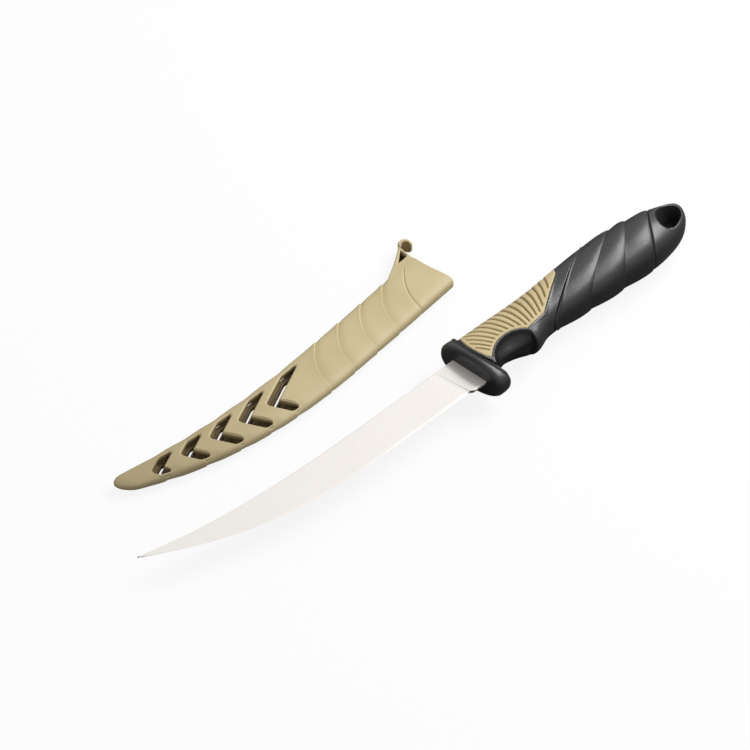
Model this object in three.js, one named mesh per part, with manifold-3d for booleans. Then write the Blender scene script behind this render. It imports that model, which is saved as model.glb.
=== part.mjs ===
// A fillet knife and its moulded sheath, lying side by side on a flat surface.
// Millimetres, +Z up. The knife's own frame has its origin on the blade's mid plane, where the blade
// meets the guard: +X runs toward the butt, +Y toward the spine. The sheath's own frame is the same
// frame with the blade pushed home, so its mouth lies close to x = 0.

import * as THREE from "three";
import { mergeVertices } from "three/addons/utils/BufferGeometryUtils.js";
import Module from "manifold-3d";

const wasm = await Module();
wasm.setup();

// Clearance between neighbouring pieces
const fitGap = 0.3;

// Blade
const bladeLength = 175.4; // guard to point
const spineHeight = 9.2; // straight spine above the axis
const edgeDepth = 9.3; // straight edge below the axis
const pointHeight = 21.9; // swept-up point above the axis
const spineStraight = 45; // straight run of the spine ahead of the guard
const edgeStraight = 57; // straight run of the edge ahead of the guard
const spineSweepPower = 2.8;
const edgeSweepPower = 2.65;
const bladeThickness = 1.6; // at the spine
const pointThickness = 0.9;
const edgeThickness = 0.3;
const pointCrowding = 1.5; // how closely the sections crowd toward the point

// Ricasso and tang
const ricassoLength = 9; // unground heel ahead of the guard, at the edge
const ricassoLean = 1.8; // how much longer it is at the spine
const ricassoDepth = 10.6; // blunt heel below the axis
const ricassoThickness = 2;
const ricassoCorner = 1.6; // cut corner where the edge starts
const ricassoSeat = 3; // how deep the heel sits in the guard
const tangLength = 100; // from the guard's face
const tangTop = 9;
const tangBottom = -2.6;
const tangTaper = 1.6; // narrowing of each side toward the end
const tangHoleRadius = 2.4;
const tangHolePlaces = [26, 54, 82];

// Guard
const guardCentreY = -0.5;
const guardHalfHeight = 17.95;
const guardHalfThickness = 9;
const guardFlank = 4; // thickness along the knife at the flanks
const guardLobe = 8.4; // thickness along the knife at the spine and edge lobes
const guardFrontRound = 3.1; // domed front face: depth along the knife
const guardFrontInset = 4.5; // and how far in from the rim it starts
const guardRearRound = 0.8;
const guardSquareness = 2.3;

// Handle body: place along the knife, centre height, half height, half thickness
const handleStations = [
  [0, 2.6, 12.3, 8.6],
  [10, 2.6, 12.2, 8.8],
  [22, 2.6, 12.0, 9.0],
  [33.5, 1.5, 12.8, 9.1],
  [43, 2.8, 11.1, 9.4],
  [51, 3.1, 10.8, 9.7],
  [64, 2.9, 11.9, 10.3],
  [84, 2.7, 13.3, 11.2],
  [104, 2.1, 13.5, 11.5],
  [113, 1.6, 13.4, 11.0],
  [121, 1.2, 12.2, 10.2],
  [129, 1.3, 10.6, 8.9],
  [135, 1.8, 8.4, 7.4],
  [140, 3.0, 5.8, 5.4],
  [143, 4.2, 3.2, 3.2],
  [144.4, 4.8, 0.8, 0.8],
];
const handleSquareness = 2.15;
const handleStart = 1.5; // inside the guard
const handleEndRun = 6; // closer sections from here to the butt's end
const leastHalf = 0.3; // no section is smaller than this

// Spiral lines of the grip: place on the centre height, lean along the knife per height, and bow
const spiralPlaces = [66, 88, 104.4, 120.3];
const spiralLeans = [1.85, 1.62, 1.08, 0.95];
const spiralBows = [0, 0, 0, 0.012];
const spiralCentreY = 2.5;
const spiralCrest = 0.2; // a lobe stands proud of the body at its rear edge
const spiralTrough = 0.7; // and starts this far below it
const spiralStepLength = 0.7;
const spiralSwell = 1.5; // how late a lobe rises to its crest
const seamDepth = 0.7;
const seamHalfWidth = 0.8;

// Layers of the handle
const sleeveDepth = 3;
const inlayDepth = 2.2;
const spigotInset = 6; // the core's rear spigot below the handle's skin
const spigotReach = 2; // into the butt cap

// Finger recess behind the guard, an arch in plan with an upright ridge at its rear
const fingerX = 20.4;
const fingerY = -18.5;
const fingerRadius = 16.5;
const fingerRidge = 32.3;
const fingerDepth = 1.2;

// Thumb inlay
const inlayFront = 4.6; // its front edge on the flanks
const inlayFrontY = 3;
const inlayFrontBow = 0.035;
const inlayGrooveMargin = 0.7; // rim of the core between the inlay and the finger groove
const inlayCorner = 8.6; // where the front edge meets the finger groove's rim
const inlayHeelX = 31.6; // rear end of the arch
const inlayBelly = new THREE.Vector2(44.1, -3.9);
const inlayShoulder = new THREE.Vector2(64.9, 8.2);
const inlayTail = new THREE.Vector2(69.2, 12.7);
const ribCount = 17;
const ribFirstX = 3.2;
const ribPitch = 3.3;
const ribUprightX = 31; // a groove here runs straight across
const ribFan = 0.03; // lean gained per millimetre from there
const ribReferenceY = 5;
const ribWidth = 1;
const ribDepth = 0.6;
const ribMargin = 1.1; // plain rim of the inlay

// Lanyard hole
const lanyardX = 130.9;
const lanyardY = 0;
const lanyardHalfLength = 9.3;
const lanyardHalfHeight = 5.3;
const lanyardTurn = THREE.MathUtils.degToRad(26);

// Sheath
const bladeClearance = 0.6;
const sheathWall = 1.6;
const sheathHalfMouth = 4.1; // half thickness at the mouth
const sheathHalfTip = 3.4; // half thickness at the tip
const sheathSquareness = 3;
const mouthSquareness = 5;
const mouthBlend = 45; // run over which the mouth's squareness fades
const cavityHalf = 2.2;
const backFlat = 0.3; // trimmed off the back, so that the sheath lies flat
const tipClearance = 3; // cavity beyond the point
const tipSolid = 9; // solid end beyond the cavity
const sheathLength = bladeLength + tipClearance + tipSolid;
const sheathTipRound = 6;
const tipBlend = 50; // run over which the scale lines straighten toward the tip
const sheathBellyStart = 60;
const sheathBellyRise = 31;
const sheathBellyPower = 2.6;
const cavityReach = 6; // the cavity is cut this far out past x = 0
const throatX = 0.8; // the mouth's middle, and its concave sweep by height
const throatBow = 0.008;
const throatCornerY = -10; // the lower corner is rounded off from here
const throatCornerRun = 4;
const throatCornerDepth = 3;
const seamGap = 0.3; // parting of the two shells
const scaleFirst = 17.6; // first scale line from the mouth
const scalePitch = 15.8;
const scaleCount = 5;
const scaleLean = 0.8;
const scaleBow = 0.032;
const scaleStep = 0.5;
const scaleEdge = 0.3; // half the run of each step

// Sheath slots
const slotCount = 5;
const slotPitch = 15.3;
const slotLast = 14; // vertex of the last slot from the tip
const slotFirst = sheathLength - slotLast - (slotCount - 1) * slotPitch;
const slotFirstY = 2;
const slotRise = 3.2; // height gained from slot to slot
const slotSpineSlope = 0.34; // of the leg that runs toward the spine
const slotEdgeLean = 0.43; // of the leg that runs toward the edge
const slotSpineWidth = 3.2;
const slotEdgeWidth = 4.2;
const slotSpineRim = 4.2;
const slotEdgeRim = 2.3;
const slotCorner = 0.9; // cut corner at the vertex

// Ear, window and latch at the sheath's mouth
const earStart = 15;
const earHeight = 20.1;
const earHalf = 3.4;
const earSink = 3; // how deep its root goes into the body
const earHollowX = 7; // its concave back bends here
const earHollow = 2.8; // and this far above the body
const earFade = 0.2; // the back runs out this far below the body's edge
const windowFar = 5.8;
const windowLow = 13;
const windowHigh = 17.7;
const strutThickness = 1.2;
const latchThickness = 1.6;
const latchRise = 2.1; // how far the tongue climbs on its way out
const latchClearance = 0.4;
const latchLip = 1.4;
const latchBend = 1.2; // inner rounding between tongue and lip
const latchNose = 0.5; // rounding of the lip's end
const latchHold = 0.7; // how far the lip reaches in behind the guard

// Locating pegs between the shells
const pegRadius = 0.7;
const pegLength = 1.4;
const tipPegInset = 4.4; // from the tip
const tipPegX = sheathLength - tipPegInset;
const earPegX = 9.6;
const earPegRise = 0.2;

// The sheath beside the knife
const sheathX = 41.6;
const sheathY = 61.3;
const sheathTurn = THREE.MathUtils.degToRad(6.1);

const steel = new THREE.MeshStandardMaterial({ color: 0xdedcd8, roughness: 0.32, metalness: 1 });
const hardBlack = new THREE.MeshStandardMaterial({ color: 0x2b2b2d, roughness: 0.42, metalness: 0 });
const softBlack = new THREE.MeshStandardMaterial({ color: 0x333335, roughness: 0.6, metalness: 0 });
const softTan = new THREE.MeshStandardMaterial({ color: 0xcbb98b, roughness: 0.7, metalness: 0 });
const hardTan = new THREE.MeshStandardMaterial({ color: 0xc8b990, roughness: 0.5, metalness: 0 });

// Booleans
function toSolid(geometry) {
  const bare = geometry.clone();
  bare.deleteAttribute("normal");
  bare.deleteAttribute("uv");
  const merged = mergeVertices(bare, 1e-4);
  return new wasm.Manifold(new wasm.Mesh({
    numProp: 3,
    vertProperties: new Float32Array(merged.attributes.position.array),
    triVerts: new Uint32Array(merged.index.array),
  }));
}

function toMesh(name, solid, material) {
  const result = solid.getMesh();
  const geometry = new THREE.BufferGeometry();
  geometry.setAttribute("position", new THREE.BufferAttribute(result.vertProperties, 3));
  geometry.setIndex(new THREE.BufferAttribute(result.triVerts, 1));
  geometry.computeVertexNormals();
  const mesh = new THREE.Mesh(geometry, material);
  mesh.name = name;
  return mesh;
}

// A closed skin over rings of equally many points, each end closed on a point
function loft(rings, startPoint, endPoint) {
  const count = rings[0].length;
  const points = [...rings.flat(), startPoint, endPoint];
  const start = points.length - 2;
  const end = points.length - 1;
  const faces = [];
  for (let r = 0; r < rings.length - 1; r += 1) {
    for (let i = 0; i < count; i += 1) {
      const a = r * count + i;
      const b = r * count + ((i + 1) % count);
      faces.push(a, b, a + count);
      faces.push(b, b + count, a + count);
    }
  }
  const last = (rings.length - 1) * count;
  for (let i = 0; i < count; i += 1) {
    const j = (i + 1) % count;
    faces.push(start, j, i);
    faces.push(end, last + i, last + j);
  }
  const geometry = new THREE.BufferGeometry().setFromPoints(points);
  geometry.setIndex(faces);
  return geometry;
}

function ringCentre(ring) {
  const sum = new THREE.Vector3();
  ring.forEach((point) => sum.add(point));
  return sum.divideScalar(ring.length);
}

function loftSolid(rings) {
  return toSolid(loft(rings, ringCentre(rings[0]), ringCentre(rings[rings.length - 1])));
}

// An outline in plan, run through from low to high
function prism(outline, low, high, holes = []) {
  const shape = new THREE.Shape(outline);
  holes.forEach((hole) => shape.holes.push(new THREE.Path(hole)));
  const geometry = new THREE.ExtrudeGeometry(shape, { depth: high - low, bevelEnabled: false });
  geometry.translate(0, 0, low);
  return toSolid(geometry);
}

// An outline moved outward, or inward with a negative distance
function grow(outline, distance) {
  const turn = THREE.ShapeUtils.isClockWise(outline) ? -1 : 1;
  return outline.map((point, i) => {
    const before = outline[(i + outline.length - 1) % outline.length];
    const after = outline[(i + 1) % outline.length];
    const a = point.clone().sub(before).normalize();
    const b = after.clone().sub(point).normalize();
    const normalA = new THREE.Vector2(a.y, -a.x);
    const normalB = new THREE.Vector2(b.y, -b.x);
    const bisector = normalA.clone().add(normalB).normalize();
    const reach = distance * turn / Math.max(0.4, bisector.dot(normalA));
    return point.clone().addScaledVector(bisector, reach);
  });
}

function circle(x, y, radius, sides = 20) {
  return Array.from({ length: sides }, (_, i) => {
    const angle = (2 * Math.PI * i) / sides;
    return new THREE.Vector2(x + radius * Math.cos(angle), y + radius * Math.sin(angle));
  });
}

function steps(from, to, count) {
  return Array.from({ length: count + 1 }, (_, i) => from + ((to - from) * i) / count);
}

// A point of a squared ellipse of unit size
function squared(angle, squareness) {
  const power = 2 / squareness;
  const c = Math.cos(angle);
  const s = Math.sin(angle);
  return [Math.sign(c) * Math.abs(c) ** power, Math.sign(s) * Math.abs(s) ** power];
}

// Smooth curve through the rows of a table, read at x
function readTable(table, x) {
  const last = table.length - 1;
  const clamped = Math.min(Math.max(x, table[0][0]), table[last][0]);
  let i = 0;
  while (i < last - 1 && clamped > table[i + 1][0]) i += 1;
  const slope = (k, c) => {
    const low = table[Math.max(k - 1, 0)];
    const high = table[Math.min(k + 1, last)];
    return (high[c] - low[c]) / (high[0] - low[0]);
  };
  const width = table[i + 1][0] - table[i][0];
  const t = (clamped - table[i][0]) / width;
  return [1, 2, 3].map((c) => {
    const rise = (t * t * (3 - 2 * t)) * (table[i + 1][c] - table[i][c]);
    const leave = (t * (1 - t) ** 2) * width * slope(i, c);
    const arrive = (t * t * (t - 1)) * width * slope(i + 1, c);
    return table[i][c] + rise + leave + arrive;
  });
}

function sweep(ahead, start, end, rise, power) {
  return rise * Math.max(0, (ahead - start) / (end - start)) ** power;
}

// Blade outline, by distance ahead of the guard
function spineAt(ahead) {
  return spineHeight + sweep(ahead, spineStraight, bladeLength, pointHeight - spineHeight, spineSweepPower);
}

function edgeAt(ahead) {
  return sweep(ahead, edgeStraight, bladeLength, pointHeight + edgeDepth, edgeSweepPower) - edgeDepth;
}

function tangOutline(front, slack) {
  return [
    new THREE.Vector2(front, -ricassoDepth - slack),
    new THREE.Vector2(ricassoSeat + slack, -ricassoDepth - slack),
    new THREE.Vector2(ricassoSeat + slack, tangBottom - slack),
    new THREE.Vector2(tangLength + slack, tangBottom + tangTaper - slack),
    new THREE.Vector2(tangLength + slack, tangTop - tangTaper + slack),
    new THREE.Vector2(ricassoSeat + slack, tangTop + slack),
    new THREE.Vector2(ricassoSeat + slack, spineHeight + slack),
    new THREE.Vector2(front, spineHeight + slack),
  ];
}

function tangHoles(slack) {
  const middle = (tangTop + tangBottom) / 2;
  return tangHolePlaces.map((x) => circle(x, middle, tangHoleRadius - slack));
}

function makeBlade() {
  const ringAt = (ahead) => {
    const share = ahead / bladeLength;
    const halfSpine = (bladeThickness + (pointThickness - bladeThickness) * share) / 2;
    const halfEdge = edgeThickness / 2;
    return [
      new THREE.Vector3(-ahead, spineAt(ahead), halfSpine),
      new THREE.Vector3(-ahead, spineAt(ahead), -halfSpine),
      new THREE.Vector3(-ahead, edgeAt(ahead), -halfEdge),
      new THREE.Vector3(-ahead, edgeAt(ahead), halfEdge),
    ];
  };
  const start = ricassoLength / 2;
  const stop = bladeLength - edgeThickness;
  const rings = steps(0, 1, 34).map((t) => ringAt(start + (stop - start) * (1 - (1 - t) ** pointCrowding)));
  const point = new THREE.Vector3(-bladeLength, pointHeight, 0);
  const ground = toSolid(loft(rings, ringCentre(rings[0]), point));
  const outline = [
    new THREE.Vector2(-ricassoLength, -edgeDepth),
    new THREE.Vector2(-ricassoLength + ricassoCorner, -ricassoDepth),
    ...tangOutline(0, 0).slice(1, -1),
    new THREE.Vector2(-ricassoLength - ricassoLean, spineHeight),
  ];
  const plate = prism(outline, -ricassoThickness / 2, ricassoThickness / 2, tangHoles(0));
  return ground.add(plate);
}

// Handle skin
function spiralTrend(place, values) {
  const places = [handleStations[0][0], ...spiralPlaces, handleStations.at(-1)[0]];
  const rows = [0, ...values, 0];
  let i = 0;
  while (i < places.length - 2 && place > places[i + 1]) i += 1;
  const t = (place - places[i]) / (places[i + 1] - places[i]);
  return rows[i] + (rows[i + 1] - rows[i]) * t;
}

function spiralX(place, y) {
  const rise = y - spiralCentreY;
  return place + spiralTrend(place, spiralLeans) * rise + spiralTrend(place, spiralBows) * rise * rise;
}

function spiralRelief(place) {
  const first = spiralPlaces[0];
  const last = spiralPlaces.at(-1);
  const fromSeam = Math.min(Math.abs(place - first), Math.abs(place - last));
  if (fromSeam < seamHalfWidth) return -seamDepth * (1 - fromSeam / seamHalfWidth);
  if (place < first || place > last) return 0;
  let i = 0;
  while (place > spiralPlaces[i + 1]) i += 1;
  const t = (place - spiralPlaces[i]) / (spiralPlaces[i + 1] - spiralPlaces[i]);
  const low = i === 0 ? 0 : -spiralTrough;
  const high = i === spiralPlaces.length - 2 ? 0 : spiralCrest;
  return low + (high - low) * t ** spiralSwell;
}

function handleRing(place, relief, sides) {
  return Array.from({ length: sides }, (_, i) => {
    const [c, s] = squared((2 * Math.PI * i) / sides, handleSquareness);
    let x = place;
    let centre = 0;
    let half = 0;
    let thick = 0;
    for (let pass = 0; pass < 4; pass += 1) {
      [centre, half, thick] = readTable(handleStations, x);
      x = spiralX(place, centre + half * c);
    }
    const y = centre + Math.max(half + relief, leastHalf) * c;
    const z = Math.max(thick + relief, leastHalf) * s;
    return new THREE.Vector3(x, y, z);
  });
}

function handlePlaces() {
  const [one, two, three, four] = spiralPlaces;
  const end = handleStations.at(-1)[0];
  return [
    ...steps(handleStart, one - seamHalfWidth, 10),
    one,
    ...steps(one + seamHalfWidth, two, 4),
    ...steps(two + spiralStepLength, three, 3),
    ...steps(three + spiralStepLength, four - seamHalfWidth, 3),
    four,
    ...steps(four + seamHalfWidth, end - handleEndRun, 4),
    ...steps(end - handleEndRun * 0.75, end, 3),
  ];
}

function handleSkin(sides = 28) {
  return loftSolid(handlePlaces().map((place) => handleRing(place, spiralRelief(place), sides)));
}

function handleInset(depth, sides = 16) {
  const end = handleStations.at(-1)[0];
  const places = steps(handleStart, end - depth, 14);
  return loftSolid(places.map((place) => handleRing(place, -depth, sides)));
}

// Plan outlines on either side of a spiral line
const planMargin = 12.6;
const planReach = sheathLength + planMargin;
const planLow = -17;
const planHigh = 20;

function spiralLine(place, shift) {
  const offset = shift * Math.hypot(1, spiralTrend(place, spiralLeans));
  return steps(planLow, planHigh, 14).map((y) => new THREE.Vector2(spiralX(place, y) + offset, y));
}

function aheadOf(place, shift) {
  return [
    ...spiralLine(place, shift),
    new THREE.Vector2(-planReach, planHigh),
    new THREE.Vector2(-planReach, planLow),
  ];
}

function behind(place, shift) {
  return [
    ...spiralLine(place, shift).reverse(),
    new THREE.Vector2(planReach, planLow),
    new THREE.Vector2(planReach, planHigh),
  ];
}

function planCut(outline) {
  return prism(outline, -planReach, planReach);
}

// Guard
function guardRear(share) {
  return guardFlank + (guardLobe - guardFlank) * share * share;
}

function makeGuard() {
  const sides = 36;
  const ring = (inset, place) => Array.from({ length: sides }, (_, i) => {
    const [c, s] = squared((2 * Math.PI * i) / sides, guardSquareness);
    const y = guardCentreY + (guardHalfHeight - inset) * c;
    return new THREE.Vector3(place(guardRear(c)), y, (guardHalfThickness - inset) * s);
  });
  const quarter = steps(0, Math.PI / 2, 4);
  const front = quarter.map((q) => ring(
    guardFrontInset * (1 - Math.sin(q)),
    () => guardFrontRound * (1 - Math.cos(q)),
  ));
  const back = quarter.map((q) => ring(
    guardRearRound * (1 - Math.cos(q)),
    (rear) => rear - guardRearRound * (1 - Math.sin(q)),
  ));
  return loftSolid([...front, ...back]);
}

// Arch over the finger recess, from its front to the given place along the knife
function fingerArch(radius, startAngle, endX, count) {
  const endAngle = Math.acos((endX - fingerX) / radius);
  return steps(startAngle, endAngle, count).map((angle) => new THREE.Vector2(
    fingerX + radius * Math.cos(angle),
    fingerY + radius * Math.sin(angle),
  ));
}

function makeFingerRecess() {
  const arch = fingerArch(fingerRadius, Math.PI * 0.9, fingerRidge, 16);
  const outline = [
    ...arch,
    new THREE.Vector2(fingerRidge, planLow),
    new THREE.Vector2(arch[0].x, planLow),
  ];
  return planCut(outline).subtract(handleInset(fingerDepth));
}

// Inlay outline in plan, carried past the spine so that the inlay saddles it
function inlayOutline() {
  const radius = fingerRadius + inlayGrooveMargin;
  const arch = fingerArch(radius, Math.acos((inlayCorner - fingerX) / radius), inlayHeelX, 9);
  const front = steps(planHigh, arch[0].y, 7).slice(0, -1).map((y) => new THREE.Vector2(
    inlayFront + inlayFrontBow * (y - inlayFrontY) ** 2,
    y,
  ));
  const tailEnd = inlayTail.clone().setY(planHigh);
  return [...front, ...arch, inlayBelly, inlayShoulder, inlayTail, tailEnd];
}

function ribStrip(index) {
  const x = ribFirstX + index * ribPitch;
  const lean = ribFan * (x - ribUprightX);
  const half = (ribWidth / 2) * Math.hypot(1, lean);
  const at = (y, side) => new THREE.Vector2(x + lean * (y - ribReferenceY) + side * half, y);
  return [at(planLow, -1), at(planLow, 1), at(planHigh, 1), at(planHigh, -1)];
}

function makeInlay(skin) {
  const outline = inlayOutline();
  let inlay = skin.intersect(planCut(outline)).subtract(handleInset(inlayDepth));
  const field = planCut(grow(outline, -ribMargin)).subtract(handleInset(ribDepth));
  for (let i = 0; i < ribCount; i += 1) {
    inlay = inlay.subtract(planCut(ribStrip(i)).intersect(field));
  }
  return inlay;
}

function makeCore(skin) {
  const one = spiralPlaces[0];
  const four = spiralPlaces.at(-1);
  const front = skin.intersect(planCut(aheadOf(one, -fitGap / 2))).subtract(makeFingerRecess());
  const stem = handleInset(sleeveDepth + fitGap).intersect(planCut(aheadOf(four, -fitGap / 2)));
  const spigot = handleInset(spigotInset).intersect(planCut(aheadOf(four, spigotReach)));
  const pocket = planCut(grow(inlayOutline(), fitGap)).subtract(handleInset(inlayDepth + fitGap));
  const halfSlot = ricassoThickness / 2 + fitGap;
  const slot = prism(tangOutline(-ricassoLength, fitGap), -halfSlot, halfSlot, tangHoles(fitGap));
  const whole = front.add(stem).add(spigot).add(makeGuard());
  return whole.subtract(pocket).subtract(slot);
}

function makeSleeve(skin) {
  const ring = planCut(behind(spiralPlaces[0], fitGap / 2));
  const cut = planCut(aheadOf(spiralPlaces.at(-1), -fitGap / 2));
  return skin.intersect(ring).intersect(cut).subtract(handleInset(sleeveDepth));
}

function lanyardOutline() {
  return Array.from({ length: 28 }, (_, i) => {
    const angle = (2 * Math.PI * i) / 28;
    const point = new THREE.Vector2(
      lanyardHalfLength * Math.cos(angle),
      lanyardHalfHeight * Math.sin(angle),
    );
    point.rotateAround(new THREE.Vector2(), lanyardTurn);
    return point.add(new THREE.Vector2(lanyardX, lanyardY));
  });
}

function makeButt(skin) {
  const four = spiralPlaces.at(-1);
  const cap = skin.intersect(planCut(behind(four, fitGap / 2)));
  const socket = handleInset(spigotInset - fitGap).intersect(planCut(aheadOf(four, spigotReach + fitGap)));
  return cap.subtract(socket).subtract(planCut(lanyardOutline()));
}

// Sheath outline, by distance from the mouth toward the tip
function sheathSpine(ahead) {
  return spineAt(ahead) + bladeClearance + sheathWall;
}

function sheathBelly(ahead) {
  const straight = -(ricassoDepth + bladeClearance + sheathWall);
  return straight + sweep(ahead, sheathBellyStart, sheathLength, sheathBellyRise, sheathBellyPower);
}

function scaleRelief(ahead) {
  const turn = (ahead - scaleFirst) / scalePitch;
  if (turn < 0 || turn > scaleCount) return 0;
  const share = turn - Math.floor(turn);
  return turn < scaleCount - 1 ? scaleStep * (0.5 - share) : scaleStep * 0.5 * (1 - share);
}

function sheathRing(ahead, sides) {
  const middle = (sheathSpine(ahead) + sheathBelly(ahead)) / 2;
  const beyond = Math.max(0, ahead - (sheathLength - sheathTipRound)) / sheathTipRound;
  const shrink = Math.sqrt(Math.max(0.02, 1 - beyond * beyond));
  const straighten = 1 - THREE.MathUtils.smoothstep(ahead, sheathLength - tipBlend, sheathLength);
  const relief = scaleRelief(ahead);
  return Array.from({ length: sides }, (_, i) => {
    const fade = THREE.MathUtils.smoothstep(ahead, 0, mouthBlend);
    const squareness = mouthSquareness + (sheathSquareness - mouthSquareness) * fade;
    const [c, s] = squared((2 * Math.PI * i) / sides, squareness);
    let x = ahead;
    let centre = 0;
    let half = 0;
    for (let pass = 0; pass < 4; pass += 1) {
      half = (sheathSpine(x) - sheathBelly(x)) / 2;
      centre = (sheathSpine(x) + sheathBelly(x)) / 2;
      const rise = centre + half * shrink * c - middle;
      x = ahead - straighten * (scaleLean * rise + scaleBow * rise * rise);
    }
    const thick = sheathHalfMouth + ((sheathHalfTip - sheathHalfMouth) * x) / sheathLength;
    const y = centre + (half * shrink + relief * 0.5) * c;
    return new THREE.Vector3(-x, y, (thick * shrink + relief) * s);
  });
}

function sheathBody(sides = 28) {
  const mouthReach = 24;
  const places = steps(-mouthReach, scaleFirst - scaleEdge, 4);
  for (let k = 0; k < scaleCount - 1; k += 1) {
    const from = scaleFirst + k * scalePitch;
    places.push(...steps(from + scaleEdge, from + scalePitch - scaleEdge, 2));
  }
  const scaleEnd = scaleFirst + (scaleCount - 1) * scalePitch;
  const roundStart = sheathLength - sheathTipRound;
  places.push(...steps(scaleEnd + scaleEdge, roundStart, 9));
  places.push(...steps(0.25, 1, 5).map((t) => roundStart + sheathTipRound * Math.sin((t * Math.PI) / 2)));
  return loftSolid(places.map((ahead) => sheathRing(ahead, sides)).reverse());
}

function slotOutline(index) {
  const vertexX = -(slotFirst + index * slotPitch);
  const vertexY = slotFirstY + index * slotRise;
  const along = (run) => new THREE.Vector2(vertexX + run, vertexY + slotSpineSlope * run);
  const spineRun = meetRim(along, (point) => sheathSpine(-point.x) - slotSpineRim - point.y);
  const inner = along(slotEdgeWidth);
  inner.y -= slotSpineWidth;
  const innerAlong = (run) => new THREE.Vector2(inner.x + run, inner.y + slotSpineSlope * run);
  const innerRun = meetRim(innerAlong, (point) => sheathSpine(-point.x) - slotSpineRim - point.y);
  const down = (from) => (run) => new THREE.Vector2(from.x + slotEdgeLean * run, from.y - run);
  const belowRim = (point) => point.y - sheathBelly(-point.x) - slotEdgeRim;
  const outerStart = along(0);
  const outerRun = meetRim(down(outerStart), belowRim);
  const edgeRun = meetRim(down(inner), belowRim);
  return [
    along(slotCorner),
    down(outerStart)(slotCorner),
    down(outerStart)(outerRun),
    down(inner)(edgeRun),
    inner,
    innerAlong(innerRun),
    along(spineRun),
  ];
}

// Length of a leg up to a rim, by halving
function meetRim(along, room) {
  let low = 0;
  let high = 60;
  for (let i = 0; i < 40; i += 1) {
    const middle = (low + high) / 2;
    if (room(along(middle)) > 0) low = middle;
    else high = middle;
  }
  return low;
}

// Where the mouth's edge lies, by height
function throatAt(y) {
  const corner = Math.max(0, throatCornerY - y) / throatCornerRun;
  return throatX + throatBow * y * y - throatCornerDepth * corner * corner;
}

function throatOutline() {
  const edge = steps(planLow, planHigh, 24).map((y) => new THREE.Vector2(throatAt(y), y));
  return [...edge, new THREE.Vector2(planReach, planHigh), new THREE.Vector2(planReach, planLow)];
}

function cavityOutline() {
  const end = bladeLength + tipClearance;
  const aheads = steps(-cavityReach, end, 24);
  const spine = aheads.map((ahead) => new THREE.Vector2(-ahead, sheathSpine(ahead) - sheathWall));
  const belly = aheads.map((ahead) => new THREE.Vector2(-ahead, sheathBelly(ahead) + sheathWall));
  return [...spine, ...belly.reverse()];
}

function earOutline() {
  const root = sheathSpine(0);
  const ear = new THREE.Shape();
  const front = steps(root - earSink, earHeight, 6);
  ear.moveTo(throatAt(front[0]), front[0]);
  front.slice(1).forEach((y) => ear.lineTo(throatAt(y), y));
  ear.quadraticCurveTo(-earHollowX, root + earHollow, -earStart, root - earFade);
  ear.lineTo(-earStart - 2 * earSink, root - earSink);
  return ear.extractPoints(6).shape;
}

function windowOutline() {
  return [
    new THREE.Vector2(-windowFar, windowLow),
    new THREE.Vector2(throatAt(windowLow) - strutThickness, windowLow),
    new THREE.Vector2(throatAt(windowHigh) - strutThickness, windowHigh),
  ];
}

function pegPlaces() {
  const tipY = (sheathSpine(tipPegX) + sheathBelly(tipPegX)) / 2;
  return [new THREE.Vector2(-tipPegX, tipY), new THREE.Vector2(-earPegX, sheathSpine(0) + earPegRise)];
}

function makeSheath() {
  const backCut = new THREE.BoxGeometry(2 * planReach, planReach, planReach);
  backCut.translate(0, 0, backFlat - sheathHalfMouth - planReach / 2);
  let body = sheathBody().subtract(planCut(throatOutline())).subtract(toSolid(backCut));
  body = body.add(prism(earOutline(), -earHalf, earHalf));
  body = body.subtract(prism(cavityOutline(), -cavityHalf, cavityHalf)).subtract(planCut(windowOutline()));
  for (let i = 0; i < slotCount; i += 1) {
    body = body.subtract(planCut(slotOutline(i)));
  }
  return body;
}

function makeShells() {
  const body = makeSheath();
  const half = new THREE.BoxGeometry(2 * planReach, 2 * planReach, planReach);
  const above = half.clone().translate(0, 0, planReach / 2 + seamGap / 2);
  const below = half.clone().translate(0, 0, -planReach / 2 - seamGap / 2);
  let front = body.intersect(toSolid(above));
  let rear = body.intersect(toSolid(below));
  pegPlaces().forEach((place) => {
    const peg = circle(place.x, place.y, pegRadius, 16);
    const socket = circle(place.x, place.y, pegRadius + fitGap, 16);
    front = front.add(prism(peg, -pegLength, seamGap));
    rear = rear.subtract(prism(socket, -pegLength - fitGap, seamGap));
  });
  return [front, rear];
}

function makeLatch() {
  const lipX = guardLobe + latchClearance;
  const lipEnd = lipX + latchLip;
  const rootLow = earHeight - latchThickness;
  const farTop = earHeight + latchRise;
  const farLow = farTop - latchThickness;
  const lipLow = guardCentreY + guardHalfHeight - latchHold;
  const tongue = new THREE.Shape();
  tongue.moveTo(throatAt(rootLow) + fitGap, rootLow);
  tongue.lineTo(lipX - latchBend, farLow);
  tongue.quadraticCurveTo(lipX, farLow, lipX, farLow - latchBend);
  tongue.lineTo(lipX, lipLow + latchNose);
  tongue.quadraticCurveTo(lipX + latchLip / 2, lipLow - latchNose, lipEnd, lipLow + latchNose);
  tongue.lineTo(lipEnd, farTop - latchThickness);
  tongue.quadraticCurveTo(lipEnd, farTop, lipX - latchBend / 2, farTop);
  tongue.lineTo(throatAt(earHeight) + fitGap, earHeight);
  return prism(tongue.extractPoints(5).shape, -earHalf, earHalf);
}

// Assembly
const skin = handleSkin();
const knife = new THREE.Group();
knife.add(toMesh("blade", makeBlade(), steel));
knife.add(toMesh("handle_core", makeCore(skin), hardBlack));
knife.add(toMesh("thumb_inlay", makeInlay(skin), softTan));
knife.add(toMesh("grip_sleeve", makeSleeve(skin), softBlack));
knife.add(toMesh("butt_cap", makeButt(skin), hardBlack));

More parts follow.
